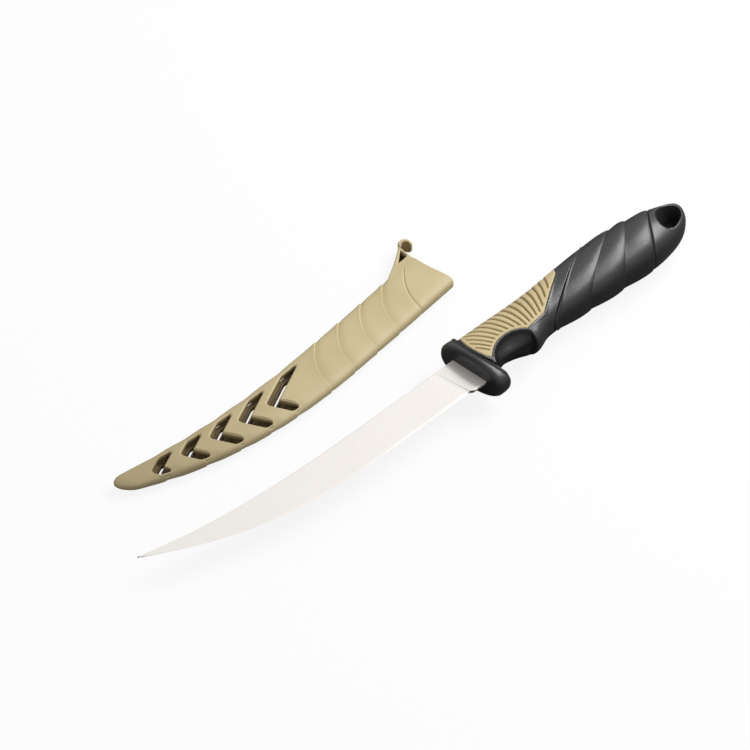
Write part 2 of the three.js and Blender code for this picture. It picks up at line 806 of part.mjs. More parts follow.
const [frontShell, rearShell] = makeShells();
const sheath = new THREE.Group();
sheath.add(toMesh("sheath_front_shell", frontShell, hardTan));
sheath.add(toMesh("sheath_rear_shell", rearShell, hardTan));
sheath.add(toMesh("guard_latch", makeLatch(), hardTan));
sheath.position.set(sheathX, sheathY, 0);
sheath.rotation.z = sheathTurn;

// Both lie on z = 0, and the origin is under the middle of the whole
const fishingKnife = new THREE.Group();
[knife, sheath].forEach((piece) => {
  piece.position.z = -new THREE.Box3().setFromObject(piece, true).min.z;
  fishingKnife.add(piece);
});
const middle = new THREE.Box3().setFromObject(fishingKnife, true).getCenter(new THREE.Vector3());
fishingKnife.position.set(-middle.x, -middle.y, 0);

export default fishingKnife;
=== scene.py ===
import math
import bmesh
import bpy
import numpy as np
from mathutils import Matrix, Vector


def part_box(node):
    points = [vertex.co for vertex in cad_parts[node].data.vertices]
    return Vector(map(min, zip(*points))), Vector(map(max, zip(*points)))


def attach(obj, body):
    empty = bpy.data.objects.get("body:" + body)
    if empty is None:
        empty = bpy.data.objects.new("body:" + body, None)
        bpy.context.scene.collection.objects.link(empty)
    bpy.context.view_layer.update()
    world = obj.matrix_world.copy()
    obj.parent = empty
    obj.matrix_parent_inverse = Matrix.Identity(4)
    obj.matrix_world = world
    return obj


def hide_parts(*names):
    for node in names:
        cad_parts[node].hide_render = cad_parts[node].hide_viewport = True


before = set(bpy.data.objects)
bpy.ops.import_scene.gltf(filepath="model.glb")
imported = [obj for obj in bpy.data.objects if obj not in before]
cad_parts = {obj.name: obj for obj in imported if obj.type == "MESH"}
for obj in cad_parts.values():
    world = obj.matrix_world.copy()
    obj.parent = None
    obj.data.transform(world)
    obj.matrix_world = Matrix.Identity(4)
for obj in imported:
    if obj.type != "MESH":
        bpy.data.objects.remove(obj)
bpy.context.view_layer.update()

print("frame loaded")

# The piece dictionaries are in millimetres, in the knife's own frame: the blade's mid plane at z = 0,
# the guard's front at x = 0, +x toward the butt and +y toward the spine. The sheath's frame is the
# same with the blade pushed home, so its mouth lies on x = 0.
mm = 0.001


# small helpers

def smoothStep(value, low, high):
    t = np.clip((value - low) / (high - low), 0, 1)
    return t * t * (3 - 2 * t)


def squircle(angle, squareness):
    c, s = np.cos(angle), np.sin(angle)
    reach = (np.abs(c) ** squareness + np.abs(s) ** squareness) ** (-1 / squareness)
    return reach * c, reach * s


def superEllipse(angle, squareness):
    c, s = np.cos(angle), np.sin(angle)  # like squircle, with its points gathered at the round corners
    power = 2 / squareness
    return np.sign(c) * np.abs(c) ** power, np.sign(s) * np.abs(s) ** power


def roundTable(sides):
    return np.linspace(0, 2 * np.pi, sides, endpoint=False)


def sweep(ahead, start, end, rise, power):
    return rise * np.maximum(0, (ahead - start) / (end - start)) ** power


def readTable(table, x):
    rows = np.array(table, float)  # smooth curve through the rows, read at x
    at, last = rows[:, 0], len(rows) - 1
    before = np.maximum(np.arange(last + 1) - 1, 0)
    after = np.minimum(np.arange(last + 1) + 1, last)
    slope = (rows[after] - rows[before]) / (at[after] - at[before])[:, None]
    x = np.clip(x, at[0], at[-1])
    i = np.clip(np.searchsorted(at, x) - 1, 0, last - 1)
    width = at[i + 1] - at[i]
    t = (x - at[i]) / width
    columns = []
    for k in (1, 2, 3):
        rise = t * t * (3 - 2 * t) * (rows[i + 1, k] - rows[i, k])
        leave = t * (1 - t) ** 2 * width * slope[i, k]
        arrive = t * t * (t - 1) * width * slope[i + 1, k]
        columns.append(rows[i, k] + rise + leave + arrive)
    return columns


def insideDistance(outline, x, y):
    # distance in from the outline, negative outside it
    nearest = np.full(np.shape(x), 1e9)
    inside = np.zeros(np.shape(x), bool)
    for (ax, ay), (bx, by) in zip(outline, np.roll(outline, -1, axis=0)):
        run = (bx - ax) ** 2 + (by - ay) ** 2 + 1e-12
        t = np.clip(((x - ax) * (bx - ax) + (y - ay) * (by - ay)) / run, 0, 1)
        nearest = np.minimum(nearest, np.hypot(x - ax - t * (bx - ax), y - ay - t * (by - ay)))
        crosses = (ay > y) != (by > y)
        inside ^= crosses & (x < ax + (y - ay) * (bx - ax) / (by - ay + 1e-12))
    return np.where(inside, nearest, -nearest)


def turnsLeft(outline):
    x, y = np.array(outline).T
    return np.sum(x * np.roll(y, -1) - np.roll(x, -1) * y) > 0


def grow(outline, distance):
    points = np.array(outline)
    side = 1 if turnsLeft(points) else -1
    a = points - np.roll(points, 1, axis=0)
    b = np.roll(points, -1, axis=0) - points
    a /= np.linalg.norm(a, axis=1)[:, None]
    b /= np.linalg.norm(b, axis=1)[:, None]
    na = np.stack([a[:, 1], -a[:, 0]], 1)
    nb = np.stack([b[:, 1], -b[:, 0]], 1)
    middle = na + nb
    middle /= np.linalg.norm(middle, axis=1)[:, None]
    reach = distance * side / np.maximum(0.4, np.sum(middle * na, axis=1))
    return points + middle * reach[:, None]


def roundCorners(outline, radius, steps=5):
    points = np.array(outline, float)
    rounded = []
    for before, corner, after in zip(np.roll(points, 1, axis=0), points, np.roll(points, -1, axis=0)):
        a, b = before - corner, after - corner
        la, lb = np.linalg.norm(a), np.linalg.norm(b)
        cut = min(radius, 0.45 * la, 0.45 * lb)
        start, end = corner + a * cut / la, corner + b * cut / lb
        for t in np.linspace(0, 1, steps):
            rounded.append((1 - t) ** 2 * start + 2 * t * (1 - t) * corner + t * t * end)
    return np.array(rounded)


def bend(a, b, c, steps=6):
    t = np.linspace(0, 1, steps)[:, None]
    a, b, c = np.array(a), np.array(b), np.array(c)
    return [*((1 - t) ** 2 * a + 2 * t * (1 - t) * b + t ** 2 * c)]


def wrapRows(rows):
    # a grid wrapped round a piece: its last column meets its first, and open ends are closed
    count, sides = rows.shape[:2]
    bm = bmesh.new()
    bmesh.ops.create_grid(bm, x_segments=count - 1, y_segments=sides, size=0.5)
    for v in bm.verts:
        row = round((v.co.x + 0.5) * (count - 1))
        column = round((v.co.y + 0.5) * sides) % sides
        v.co = rows[row, column]
    bmesh.ops.remove_doubles(bm, verts=bm.verts, dist=1e-4)
    bmesh.ops.holes_fill(bm, edges=[e for e in bm.edges if e.is_boundary])
    bmesh.ops.recalc_face_normals(bm, faces=bm.faces)
    if bm.calc_volume(signed=True) < 0:
        bmesh.ops.reverse_faces(bm, faces=bm.faces)
    return bm


def stackRows(*rows):
    return np.stack([np.stack(np.broadcast_arrays(*row), -1) for row in rows])


def extrudeOutline(outline, low, high):
    bm = bmesh.new()
    face = bm.faces.new([bm.verts.new((x, y, low)) for x, y in outline])
    grown = bmesh.ops.extrude_face_region(bm, geom=[face])
    top = [v for v in grown["geom"] if isinstance(v, bmesh.types.BMVert)]
    bmesh.ops.translate(bm, verts=top, vec=(0, 0, high - low))
    bmesh.ops.recalc_face_normals(bm, faces=bm.faces)
    return bm


def thereAndBack(values, back=1):
    return np.concatenate([values, back * values[-2:0:-1]])


def roundEdges(bm, edges, offset):
    bmesh.ops.bevel(bm, geom=edges, offset=offset, offset_type="OFFSET", segments=4, profile=0.5,
                    affect="EDGES", material=-1, clamp_overlap=True)


def toObject(bm, name):
    mesh = bpy.data.meshes.new(name)
    bm.to_mesh(mesh)
    bm.free()
    piece = bpy.data.objects.new(name, mesh)
    bpy.context.scene.collection.objects.link(piece)
    return piece


def splitFaces(mesh, sliver=0.0):
    # faces of many sides become triangles, which carving keeps whole
    bm = bmesh.new()
    bm.from_mesh(mesh)
    if sliver:
        bmesh.ops.dissolve_degenerate(bm, edges=bm.edges, dist=sliver)
    bmesh.ops.triangulate(bm, faces=[f for f in bm.faces if len(f.verts) > 4])
    bm.to_mesh(mesh)
    bm.free()


def carve(piece, tool, operation="DIFFERENCE"):
    splitFaces(piece.data)
    splitFaces(tool.data)
    cut = piece.modifiers.new("carve", "BOOLEAN")
    cut.operation = operation
    cut.object = tool
    cut.solver = "MANIFOLD"
    graph = bpy.context.evaluated_depsgraph_get()
    carved = bpy.data.meshes.new_from_object(piece.evaluated_get(graph))
    piece.modifiers.clear()
    piece.data = carved
    bpy.data.objects.remove(tool)


def rimTool(outline, heightAt, radius, side, floorZ, topZ, draft=0.0):
    # a cutter that rounds over the rim where it leaves the surface on one side
    rings = [(-draft, None, floorZ)]
    for t in np.linspace(1, 0, 6):
        rings.append((radius * (1 - math.sqrt(1 - (1 - t) ** 2)), radius * t, None))
    rings.append((radius, None, topZ))
    rows = []
    for out, depth, level in rings:
        x, y = grow(outline, out).T
        z = np.full(len(x), side * level) if level is not None else side * (heightAt(x, y) - depth)
        rows.append((x, y, z))
    return wrapRows(stackRows(*rows))


def joinMeshes(parts):
    bm = bmesh.new()
    for part in parts:
        mesh = bpy.data.meshes.new("joined")
        part.to_mesh(mesh)
        part.free()
        bm.from_mesh(mesh)
        bpy.data.meshes.remove(mesh)
    return bm


def setShade(piece, shadeAt):
    # how deep each point lies in painted shade, from its place in the piece's own frame
    points = np.array([v.co for v in piece.data.vertices])
    shade = piece.data.attributes.new("shade", "FLOAT", "POINT")
    shade.data.foreach_set("value", np.clip(shadeAt(*points.T), 0, 1).astype(np.float32))
    return piece


def settle(piece, place, body, material, node=None, crease=38):
    splitFaces(piece.data, 0.002)
    piece.data.transform(place)
    piece.data.materials.clear()
    piece.data.materials.append(material)
    piece.data.polygons.foreach_set("material_index", [0] * len(piece.data.polygons))
    piece.data.polygons.foreach_set("use_smooth", [True] * len(piece.data.polygons))
    piece.data.set_sharp_from_angle(angle=math.radians(crease))
    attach(piece, body)
    if node:
        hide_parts(node)
    print("made", piece.name, len(piece.data.polygons), "faces")


# shared surface effects, each a node group that puts out masks and heights

def addNode(tree, kind, at, **values):
    node = tree.nodes.new(kind)
    node.location = at
    for key, value in values.items():
        if hasattr(node, key):
            setattr(node, key, value)
        else:
            node.inputs[key.replace("_", " ")].default_value = value
    return node


def addRamp(tree, at, look, low, high):
    ramp = addNode(tree, "ShaderNodeValToRGB", at)
    for element, place, color in zip(ramp.color_ramp.elements, (low, high), (look["dark"], look["light"])):
        element.position = place
        element.color = (*color, 1)
    return ramp


def newGroup(name, inputs, outputs):
    group = bpy.data.node_groups.new(name, "ShaderNodeTree")
    for title, kind in inputs:
        group.interface.new_socket(name=title, in_out="INPUT", socket_type=kind)
    for title in outputs:
        group.interface.new_socket(name=title, in_out="OUTPUT", socket_type="NodeSocketFloat")
    entry = addNode(group, "NodeGroupInput", (-900, 0))
    leave = addNode(group, "NodeGroupOutput", (600, 0))
    return group, entry, leave


def makeMouldGrain():
    # spark-eroded mould skin: pebbled fine grain, and a slow mottle of the pigment
    group, entry, leave = newGroup(
        "mouldGrain",
        [("Vector", "NodeSocketVector"), ("Grain", "NodeSocketFloat"), ("Mottle", "NodeSocketFloat")],
        ["Height", "Cloud", "Speck"],
    )
    pebble = addNode(group, "ShaderNodeTexVoronoi", (-500, 300), feature="SMOOTH_F1", Smoothness=0.6)
    fine = addNode(group, "ShaderNodeTexNoise", (-500, 0), Detail=3.0, Roughness=0.62)
    cloud = addNode(group, "ShaderNodeTexNoise", (-500, -300), Detail=4.0, Roughness=0.55)
    both = addNode(group, "ShaderNodeMath", (-100, 200), operation="MULTIPLY_ADD")
    both.inputs[1].default_value = 0.55
    for node, scale in ((pebble, "Grain"), (fine, "Grain"), (cloud, "Mottle")):
        group.links.new(entry.outputs["Vector"], node.inputs["Vector"])
        group.links.new(entry.outputs[scale], node.inputs["Scale"])
    group.links.new(pebble.outputs["Distance"], both.inputs[0])
    group.links.new(fine.outputs["Fac"], both.inputs[2])
    group.links.new(both.outputs[0], leave.inputs["Height"])
    group.links.new(cloud.outputs["Fac"], leave.inputs["Cloud"])
    group.links.new(fine.outputs["Fac"], leave.inputs["Speck"])
    return group


def makeScuffs():
    # faint handling marks: thin stretched streaks broken up by patches
    group, entry, leave = newGroup(
        "scuffs",
        [("Vector", "NodeSocketVector"), ("Amount", "NodeSocketFloat")],
        ["Mask"],
    )
    turn = addNode(group, "ShaderNodeMapping", (-650, 100), Rotation=(0.4, 0.2, 0.7), Scale=(60, 1400, 700))
    streak = addNode(group, "ShaderNodeTexNoise", (-450, 100), Scale=1.0, Detail=2.0)
    patch = addNode(group, "ShaderNodeTexNoise", (-450, -200), Scale=70.0, Detail=2.0)
    thin = addNode(group, "ShaderNodeMapRange", (-200, 100), From_Min=0.62, From_Max=0.74)
    broken = addNode(group, "ShaderNodeMapRange", (-200, -200), From_Min=0.5, From_Max=0.66)
    mix = addNode(group, "ShaderNodeMath", (50, 0), operation="MULTIPLY")
    scale = addNode(group, "ShaderNodeMath", (250, 0), operation="MULTIPLY")
    group.links.new(entry.outputs["Vector"], turn.inputs["Vector"])
    group.links.new(turn.outputs[0], streak.inputs["Vector"])
    group.links.new(entry.outputs["Vector"], patch.inputs["Vector"])
    group.links.new(streak.outputs["Fac"], thin.inputs["Value"])
    group.links.new(patch.outputs["Fac"], broken.inputs["Value"])
    group.links.new(thin.outputs[0], mix.inputs[0])
    group.links.new(broken.outputs[0], mix.inputs[1])
    group.links.new(mix.outputs[0], scale.inputs[0])
    group.links.new(entry.outputs["Amount"], scale.inputs[1])
    group.links.new(scale.outputs[0], leave.inputs["Mask"])
    return group


mouldGrain = makeMouldGrain()
scuffs = makeScuffs()


def newMaterial(name):
    material = bpy.data.materials.new(name)
    material.use_nodes = True
    tree = material.node_tree
    shader = tree.nodes["Principled BSDF"]
    place = addNode(tree, "ShaderNodeTexCoord", (-1200, 0))
    return material, tree, shader, place.outputs["Object"]


def makeMoulded(name, look):
    # moulded plastic or rubber: two close tones, grain in bump and gloss, pale scuffs, and painted shade where
    # the shade attribute darkens the colour
    material, tree, shader, spot = newMaterial(name)
    grain = addNode(tree, "ShaderNodeGroup", (-950, 100), node_tree=mouldGrain, Grain=look["grain"],
                    Mottle=look["mottle"])
    marks = addNode(tree, "ShaderNodeGroup", (-950, -250), node_tree=scuffs, Amount=look["scuff"])
    tone = addRamp(tree, (-650, 200), look, 0.32, 0.68)
    worn = addNode(tree, "ShaderNodeMix", (-350, 200), data_type="RGBA", B=(*look["worn"], 1))
    # painted shade: the shade attribute mixes the colour toward a dark tone
    shade = addNode(tree, "ShaderNodeAttribute", (-350, 450), attribute_name="shade")
    paintedShade = addNode(tree, "ShaderNodeMix", (-150, 250), data_type="RGBA", B=(*look["paintedShade"], 1))
    gloss = addNode(tree, "ShaderNodeMapRange", (-350, -50), From_Min=0.3, From_Max=0.7,
                    To_Min=look["rough"] - 0.07, To_Max=look["rough"] + 0.07)
    bump = addNode(tree, "ShaderNodeBump", (-350, -350), Strength=look["bump"], Distance=look["deep"])
    for group in (grain, marks):
        tree.links.new(spot, group.inputs["Vector"])
    tree.links.new(grain.outputs["Cloud"], tone.inputs["Fac"])
    tree.links.new(tone.outputs["Color"], worn.inputs["A"])
    tree.links.new(marks.outputs["Mask"], worn.inputs["Factor"])
    tree.links.new(worn.outputs["Result"], paintedShade.inputs["A"])
    tree.links.new(shade.outputs["Fac"], paintedShade.inputs["Factor"])
    tree.links.new(paintedShade.outputs["Result"], shader.inputs["Base Color"])
    tree.links.new(grain.outputs["Speck"], gloss.inputs["Value"])
    tree.links.new(gloss.outputs[0], shader.inputs["Roughness"])
    tree.links.new(grain.outputs["Height"], bump.inputs["Height"])
    tree.links.new(bump.outputs[0], shader.inputs["Normal"])
    shader.inputs["Specular IOR Level"].default_value = look["specular"]
    return material


def makeSatinSteel():
    # belt-ground steel: fine lines across the blade, slow cloudiness in the polish, a duller heel, and the heel
    # grey mixed in by the shade attribute as painted reflection and painted shade
    look = {
        "dark": (0.86, 0.82, 0.79), "light": (0.92, 0.88, 0.85), "heel": (0.66, 0.635, 0.6),
        "rough": 0.18, "bare": 0.2, "matt": 0.55, "dullFrom": 0.3, "dullTo": 0.6,
    }
    material, tree, shader, spot = newMaterial("satinSteel")
    lay = addNode(tree, "ShaderNodeMapping", (-1000, 100), Scale=(4200, 60, 60))
    line = addNode(tree, "ShaderNodeTexNoise", (-800, 100), Scale=1.0, Detail=3.0, Roughness=0.55)
    cloud = addNode(tree, "ShaderNodeTexNoise", (-800, -200), Scale=22.0, Detail=3.0)
    tone = addRamp(tree, (-500, 200), look, 0.25, 0.75)
    shade = addNode(tree, "ShaderNodeAttribute", (-500, 450), attribute_name="shade")
    # painted reflection and painted shade: the shade attribute mixes the heel grey into the colour
    heel = addNode(tree, "ShaderNodeMix", (-200, 250), data_type="RGBA", B=(*look["heel"], 1))
    gloss = addNode(tree, "ShaderNodeMapRange", (-500, -150), To_Min=look["rough"] - 0.05,
                    To_Max=look["rough"] + 0.08)
    matt = addNode(tree, "ShaderNodeMapRange", (-200, -150), From_Min=look["dullFrom"], From_Max=look["dullTo"],
                   To_Max=look["matt"])
    metal = addNode(tree, "ShaderNodeMapRange", (-200, 50), From_Min=look["dullFrom"], From_Max=look["dullTo"],
                    To_Min=1.0, To_Max=look["bare"])
    bump = addNode(tree, "ShaderNodeBump", (-500, -420), Strength=0.2, Distance=0.000003)
    tree.links.new(spot, lay.inputs["Vector"])
    tree.links.new(lay.outputs[0], line.inputs["Vector"])
    tree.links.new(spot, cloud.inputs["Vector"])
    tree.links.new(line.outputs["Fac"], tone.inputs["Fac"])
    tree.links.new(tone.outputs["Color"], heel.inputs["A"])
    tree.links.new(shade.outputs["Fac"], heel.inputs["Factor"])
    tree.links.new(heel.outputs["Result"], shader.inputs["Base Color"])
    tree.links.new(cloud.outputs["Fac"], gloss.inputs["Value"])
    tree.links.new(gloss.outputs[0], matt.inputs["To Min"])
    tree.links.new(shade.outputs["Fac"], matt.inputs["Value"])
    tree.links.new(matt.outputs[0], shader.inputs["Roughness"])
    tree.links.new(line.outputs["Fac"], bump.inputs["Height"])
    tree.links.new(bump.outputs[0], shader.inputs["Normal"])
    tree.links.new(shade.outputs["Fac"], metal.inputs["Value"])
    tree.links.new(metal.outputs[0], shader.inputs["Metallic"])
    return material


satinSteel = makeSatinSteel()
# each look's darkest tone is painted shade, mixed in by the shade attribute
hardBlack = makeMoulded("hardBlack", {
    "dark": (0.019, 0.019, 0.0205), "light": (0.026, 0.026, 0.0275), "worn": (0.05, 0.05, 0.05),
    "paintedShade": (0.004, 0.004, 0.004), "rough": 0.33, "grain": 2300.0, "mottle": 90.0, "bump": 0.65,
    "deep": 0.00008, "scuff": 0.2, "specular": 0.5,
})
softBlack = makeMoulded("softBlack", {
    "dark": (0.012, 0.012, 0.013), "light": (0.017, 0.017, 0.018), "worn": (0.04, 0.04, 0.04),
    "paintedShade": (0.004, 0.004, 0.004), "rough": 0.37, "grain": 2100.0, "mottle": 70.0, "bump": 0.7,
    "deep": 0.00009, "scuff": 0.12, "specular": 0.55,
})
softTan = makeMoulded("softTan", {
    "dark": (0.56, 0.455, 0.245), "light": (0.62, 0.51, 0.285), "worn": (0.68, 0.58, 0.36),
    "paintedShade": (0.25, 0.165, 0.06), "rough": 0.62, "grain": 2400.0, "mottle": 60.0, "bump": 0.3,
    "deep": 0.00005, "scuff": 0.15, "specular": 0.3,
})
hardTan = makeMoulded("hardTan", {
    "dark": (0.545, 0.45, 0.25), "light": (0.60, 0.50, 0.285), "worn": (0.68, 0.58, 0.37),
    "paintedShade": (0.13, 0.075, 0.03), "rough": 0.5, "grain": 2000.0, "mottle": 45.0, "bump": 0.28,
    "deep": 0.00005, "scuff": 0.2, "specular": 0.35,
})
print("materials made")


# blade: flat ground from spine to edge, with an unground heel at the guard

blade = {
    "length": 175.4, "spine": 9.2, "edge": 9.3, "point": 21.9,
    "spineStraight": 45, "edgeStraight": 57, "spinePower": 2.8, "edgePower": 2.65,
    "thickness": 1.6, "pointThickness": 0.9, "edgeThickness": 0.3,
    "heelLength": 9, "heelLean": 1.8, "heelDepth": 10.6, "heelThickness": 2, "heelCorner": 1.6,
    "seat": 2.6, "plunge": 1.6, "leanRun": 34, "edgeFrom": 0.95, "edgeThin": 0.85, "spineBreak": 0.7,
    # heel keys: a duller heel with a painted reflection of the dark guard near it; line keys: a painted shadow
    # line at the plunge
    "dullAndPaintedReflection": 0.75, "paintedReflectionFade": 0.55, "paintedReflectionRun": (0.5, 6), "line": 0.3, "lineFade": 0.6,
    # far keys: painted shade toward the point
    "far": 0.26, "farRun": (50, 170),
}


def spineAt(ahead):
    b = blade
    return b["spine"] + sweep(ahead, b["spineStraight"], b["length"], b["point"] - b["spine"], b["spinePower"])


def edgeAt(ahead):
    b = blade
    return sweep(ahead, b["edgeStraight"], b["length"], b["point"] + b["edge"], b["edgePower"]) - b["edge"]


def makeBlade():
    b = blade
    heel = b["heelLength"]
    ahead = np.concatenate([
        np.linspace(-b["seat"], 0, 4),
        np.linspace(0.6, heel - b["heelCorner"], 12),
        np.linspace(heel - b["heelCorner"] + 0.2, heel, 5),
        heel + np.linspace(0.1, b["plunge"], 12),
        b["length"] - (b["length"] - heel - b["plunge"] - 0.3) * (1 - np.linspace(0, 1, 150)) ** 1.5,
    ])
    share = np.array([0, 0, 0.012, 0.04, 0.15, 0.3, 0.45, 0.6, 0.75, 0.86, 0.93, 0.965, 1])
    rows = []
    for a in ahead:
        ground = float(smoothStep(a, heel, heel + b["plunge"]))
        along = max(a, 0) / b["length"]
        top = spineAt(a)
        corner = np.clip((a - heel + b["heelCorner"]) / b["heelCorner"], 0, 1)
        low = edgeAt(a) if a > heel else -b["heelDepth"] + (b["heelDepth"] - b["edge"]) * corner
        halfSpine = (b["thickness"] + (b["pointThickness"] - b["thickness"]) * along) / 2
        wedge = halfSpine + (b["edgeThickness"] / 2 - halfSpine) * share
        wedge *= 1 - b["edgeThin"] * np.clip((share - b["edgeFrom"]) / (1 - b["edgeFrom"]), 0, 1)
        plate = np.full(len(share), b["heelThickness"] / 2)
        plate[-1] *= 0.9
        half = plate + (wedge - plate) * ground
        half[0] = 0
        half[1] *= b["spineBreak"]  # broken corner along the spine
        y = top + (low - top) * share
        lean = np.clip(a / heel, 0, 1) if a <= heel else np.clip(1 - (a - heel) / b["leanRun"], 0, 1)
        x = -(a + b["heelLean"] * lean * (y + b["edge"]) / (b["spine"] + b["edge"]))
        x = np.maximum(x, -b["length"])
        if a > b["length"] - 0.01:
            half = half * 0
            y = y * 0 + b["point"]
        rows.append((thereAndBack(x), thereAndBack(y), thereAndBack(half, -1)))
    return wrapRows(stackRows(*rows))


def bladeShade(x, y, z):
    # the unground heel is dull, with a painted reflection of the dark guard strongest close to it, and ends in
    # a painted shadow line; the steel is painted darker toward the point
    b = blade
    share = (y + b["edge"]) / (b["spine"] + b["edge"])
    edge = b["heelLength"] + b["heelLean"] * share
    face = smoothStep(np.abs(z), 0.6, 0.8)
    fade = b["dullAndPaintedReflection"] * (1 - b["paintedReflectionFade"] * smoothStep(-x, *b["paintedReflectionRun"]))
    dullAndPaintedReflection = face * fade * (1 - smoothStep(-x, edge - 0.1, edge + 0.5))
    # painted shadow: a thin dark line along the plunge
    line = (1 - b["lineFade"] * share) * np.exp(-((-x - edge - b["line"]) / b["line"]) ** 2)
    # painted shade: the steel darkens toward the point
    return np.maximum(np.maximum(dullAndPaintedReflection, line), b["far"] * smoothStep(-x, *b["farRun"]))


# handle body: place along the knife, centre height, half height, half thickness

handle = {
    "stations": [
        (0, 2.6, 12.3, 8.6), (10, 2.6, 12.2, 8.8), (22, 2.6, 12.0, 9.0), (33.5, 1.5, 12.8, 9.1),
        (43, 2.8, 11.1, 9.4), (51, 3.1, 10.8, 9.7), (64, 2.9, 11.9, 10.3), (84, 2.7, 13.3, 11.2),
        (104, 2.1, 13.5, 11.5), (113, 1.6, 13.4, 11.0), (121, 1.2, 12.2, 10.2), (129, 1.3, 10.6, 8.9),
        (135, 1.8, 8.4, 7.4), (140, 3.0, 5.8, 5.4), (143, 4.2, 3.2, 3.2), (144.4, 4.8, 0.8, 0.8),
    ],
    "squareness": 2.15, "start": 1.2, "end": 144.4, "least": 0.2,
}
spiral = {
    "places": [66, 88, 104.4, 120.3], "leans": [1.85, 1.62, 1.08, 0.95], "bows": [0, 0, 0, 0.012],
    "centreY": 2.5, "crease": 0.5, "rim": 0.1, "bulge": 0.6, "lead": 1.3, "drop": 0.55, "gap": 0.2,
    "lip": 0.3, "lipAt": 1.0, "lipWidth": 0.55, "sides": 176,
}


def spiralTrend(place, values):
    places = [0, *spiral["places"], handle["end"]]
    return np.interp(place, places, [0, *values, 0])


def spiralX(place, y):
    rise = y - spiral["centreY"]
    return place + spiralTrend(place, spiral["leans"]) * rise + spiralTrend(place, spiral["bows"]) * rise ** 2


def handlePoints(lineAt, place, angle, relief=0.0):
    # a point of the skin: lineAt gives x from the place and the height
    c, s = squircle(angle, handle["squareness"])
    x = place
    for _ in range(6):
        centre, half, thick = readTable(handle["stations"], x)
        x = lineAt(place, centre + half * c)
    return x, centre + np.maximum(half + relief, handle["least"]) * c, \
        np.maximum(thick + relief, handle["least"]) * s


def handleHeight(x, y):
    centre, half, thick = readTable(handle["stations"], x)
    share = np.clip(np.abs((y - centre) / half), 0, 0.995)
    return thick * (1 - share ** handle["squareness"]) ** (1 / handle["squareness"])


def spiralRing(place, relief, sides):
    return handlePoints(spiralX, np.full(sides, float(place)), roundTable(sides), relief)


# guard: domed front, a band, a raised bead behind it, thick lobes at the spine and the edge

guard = {
    "centreY": -0.5, "halfHeight": 17.95, "halfThickness": 9.0, "squareness": 2.3, "sides": 168,
    "flank": 3.3, "lobe": 8.4, "domeFlank": 1.3, "domeLobe": 2.7, "domeInset": 2.8,
    "band": [
        (0.1, -0.02), (0.35, -0.02), (0.48, 0.05), (0.56, 0.2), (0.62, 0.26), (0.68, 0.16), (0.74, -0.08),
        (0.8, -0.25), (0.86, -0.32), (0.92, -0.25), (0.97, -0.04), (0.995, 0.3), (1.0, 1.2),
    ],
    "roundLobe": 2.2,
}


def makeGuard():
    g = guard
    c, s = squircle(roundTable(g["sides"]), g["squareness"])
    lobe = c * c
    plain = smoothStep(np.abs(c), 0.82, 0.99)
    rear = g["flank"] + (g["lobe"] - g["flank"]) * lobe
    dome = g["domeFlank"] + (g["domeLobe"] - g["domeFlank"]) * lobe

    def ring(inset, x, scale=1.0):
        y = g["centreY"] + (g["halfHeight"] - inset) * c * scale
        return x, y, (g["halfThickness"] - inset) * s * scale

    rows = [ring(g["domeInset"], np.zeros_like(c), k) for k in (0, 0.25, 0.5, 0.75)]
    for q in np.linspace(0, np.pi / 2, 14):
        rows.append(ring(g["domeInset"] * (1 - math.sin(q)), dome * (1 - math.cos(q))))
    for share, inset in g["band"]:
        swell = g["roundLobe"] * (1 - math.sqrt(max(0, 1 - share ** 4)))
        rows.append(ring(inset + (swell - inset) * plain, dome + (rear - dome) * share))
    inset = g["band"][-1][1]
    rows += [ring(inset + (g["roundLobe"] - inset) * plain, rear, k) for k in (0.8, 0.5, 0.2, 0)]
    return wrapRows(stackRows(*rows))


# front frame of the core: scooped for the finger, pocketed for the inlay

finger = {
    "x": 20.4, "y": -18.5, "radius": 16.5, "ridge": 32.3, "ridgeRun": 0.6, "depth": 1.3,
    "run": 2.6, "guardRun": 2.5, "wallPower": 2.2, "sag": 1.1, "span": 10, "sagPower": 1.5, "sagRun": (4, 13),
}
inlay = {
    "front": 4.6, "frontY": 3, "frontBow": 0.035, "margin": 0.7, "corner": 8.6, "heel": 31.6,
    "belly": (44.1, -3.9), "shoulder": (64.9, 8.2), "tail": (69.2, 12.7), "high": 20,
    "depth": 1.9, "proud": 0.12, "roundOver": 0.5,
    "ribs": 17, "ribFirst": 3.2, "ribPitch": 3.3, "ribUpright": 31, "ribFan": 0.03, "ribY": 5,
    "ribHalf": 0.62, "ribDepth": 0.85, "ribMargin": 1.0, "ribShade": 0.75,
    "around": 140, "aroundUnder": 138, "from": -4, "to": 64, "step": 0.275,
}
frontFrame = {
    "step": 0.36, "sides": 216, "groove": 1.1, "rim": 0.75, "pocket": 1.5,
    "bead": 0.16, "beadOut": 0.45, "beadWidth": 0.5, "flare": 2.8, "flareRun": (6, 18), "flareDrop": (5, 11),
    "seamLip": [(0.3, -0.06), (0.1, -0.2), (0, -0.45), (0, -1), (0, -3), (0, -6), (0, -20)],
}


def inlayFrontX(y):
    return inlay["front"] + inlay["frontBow"] * (y - inlay["frontY"]) ** 2


def inlayOutline():
    radius = finger["radius"] + inlay["margin"]
    first = math.acos((inlay["corner"] - finger["x"]) / radius)
    last = math.acos((inlay["heel"] - finger["x"]) / radius)
    arch = [(finger["x"] + radius * math.cos(a), finger["y"] + radius * math.sin(a))
            for a in np.linspace(first, last, 24)]
    front = [(inlayFrontX(y), y) for y in np.linspace(inlay["high"], arch[0][1], 20)[:-1]]
    tail = (inlay["tail"][0], inlay["high"])
    return np.array([*front, *arch, inlay["belly"], inlay["shoulder"], inlay["tail"], tail])


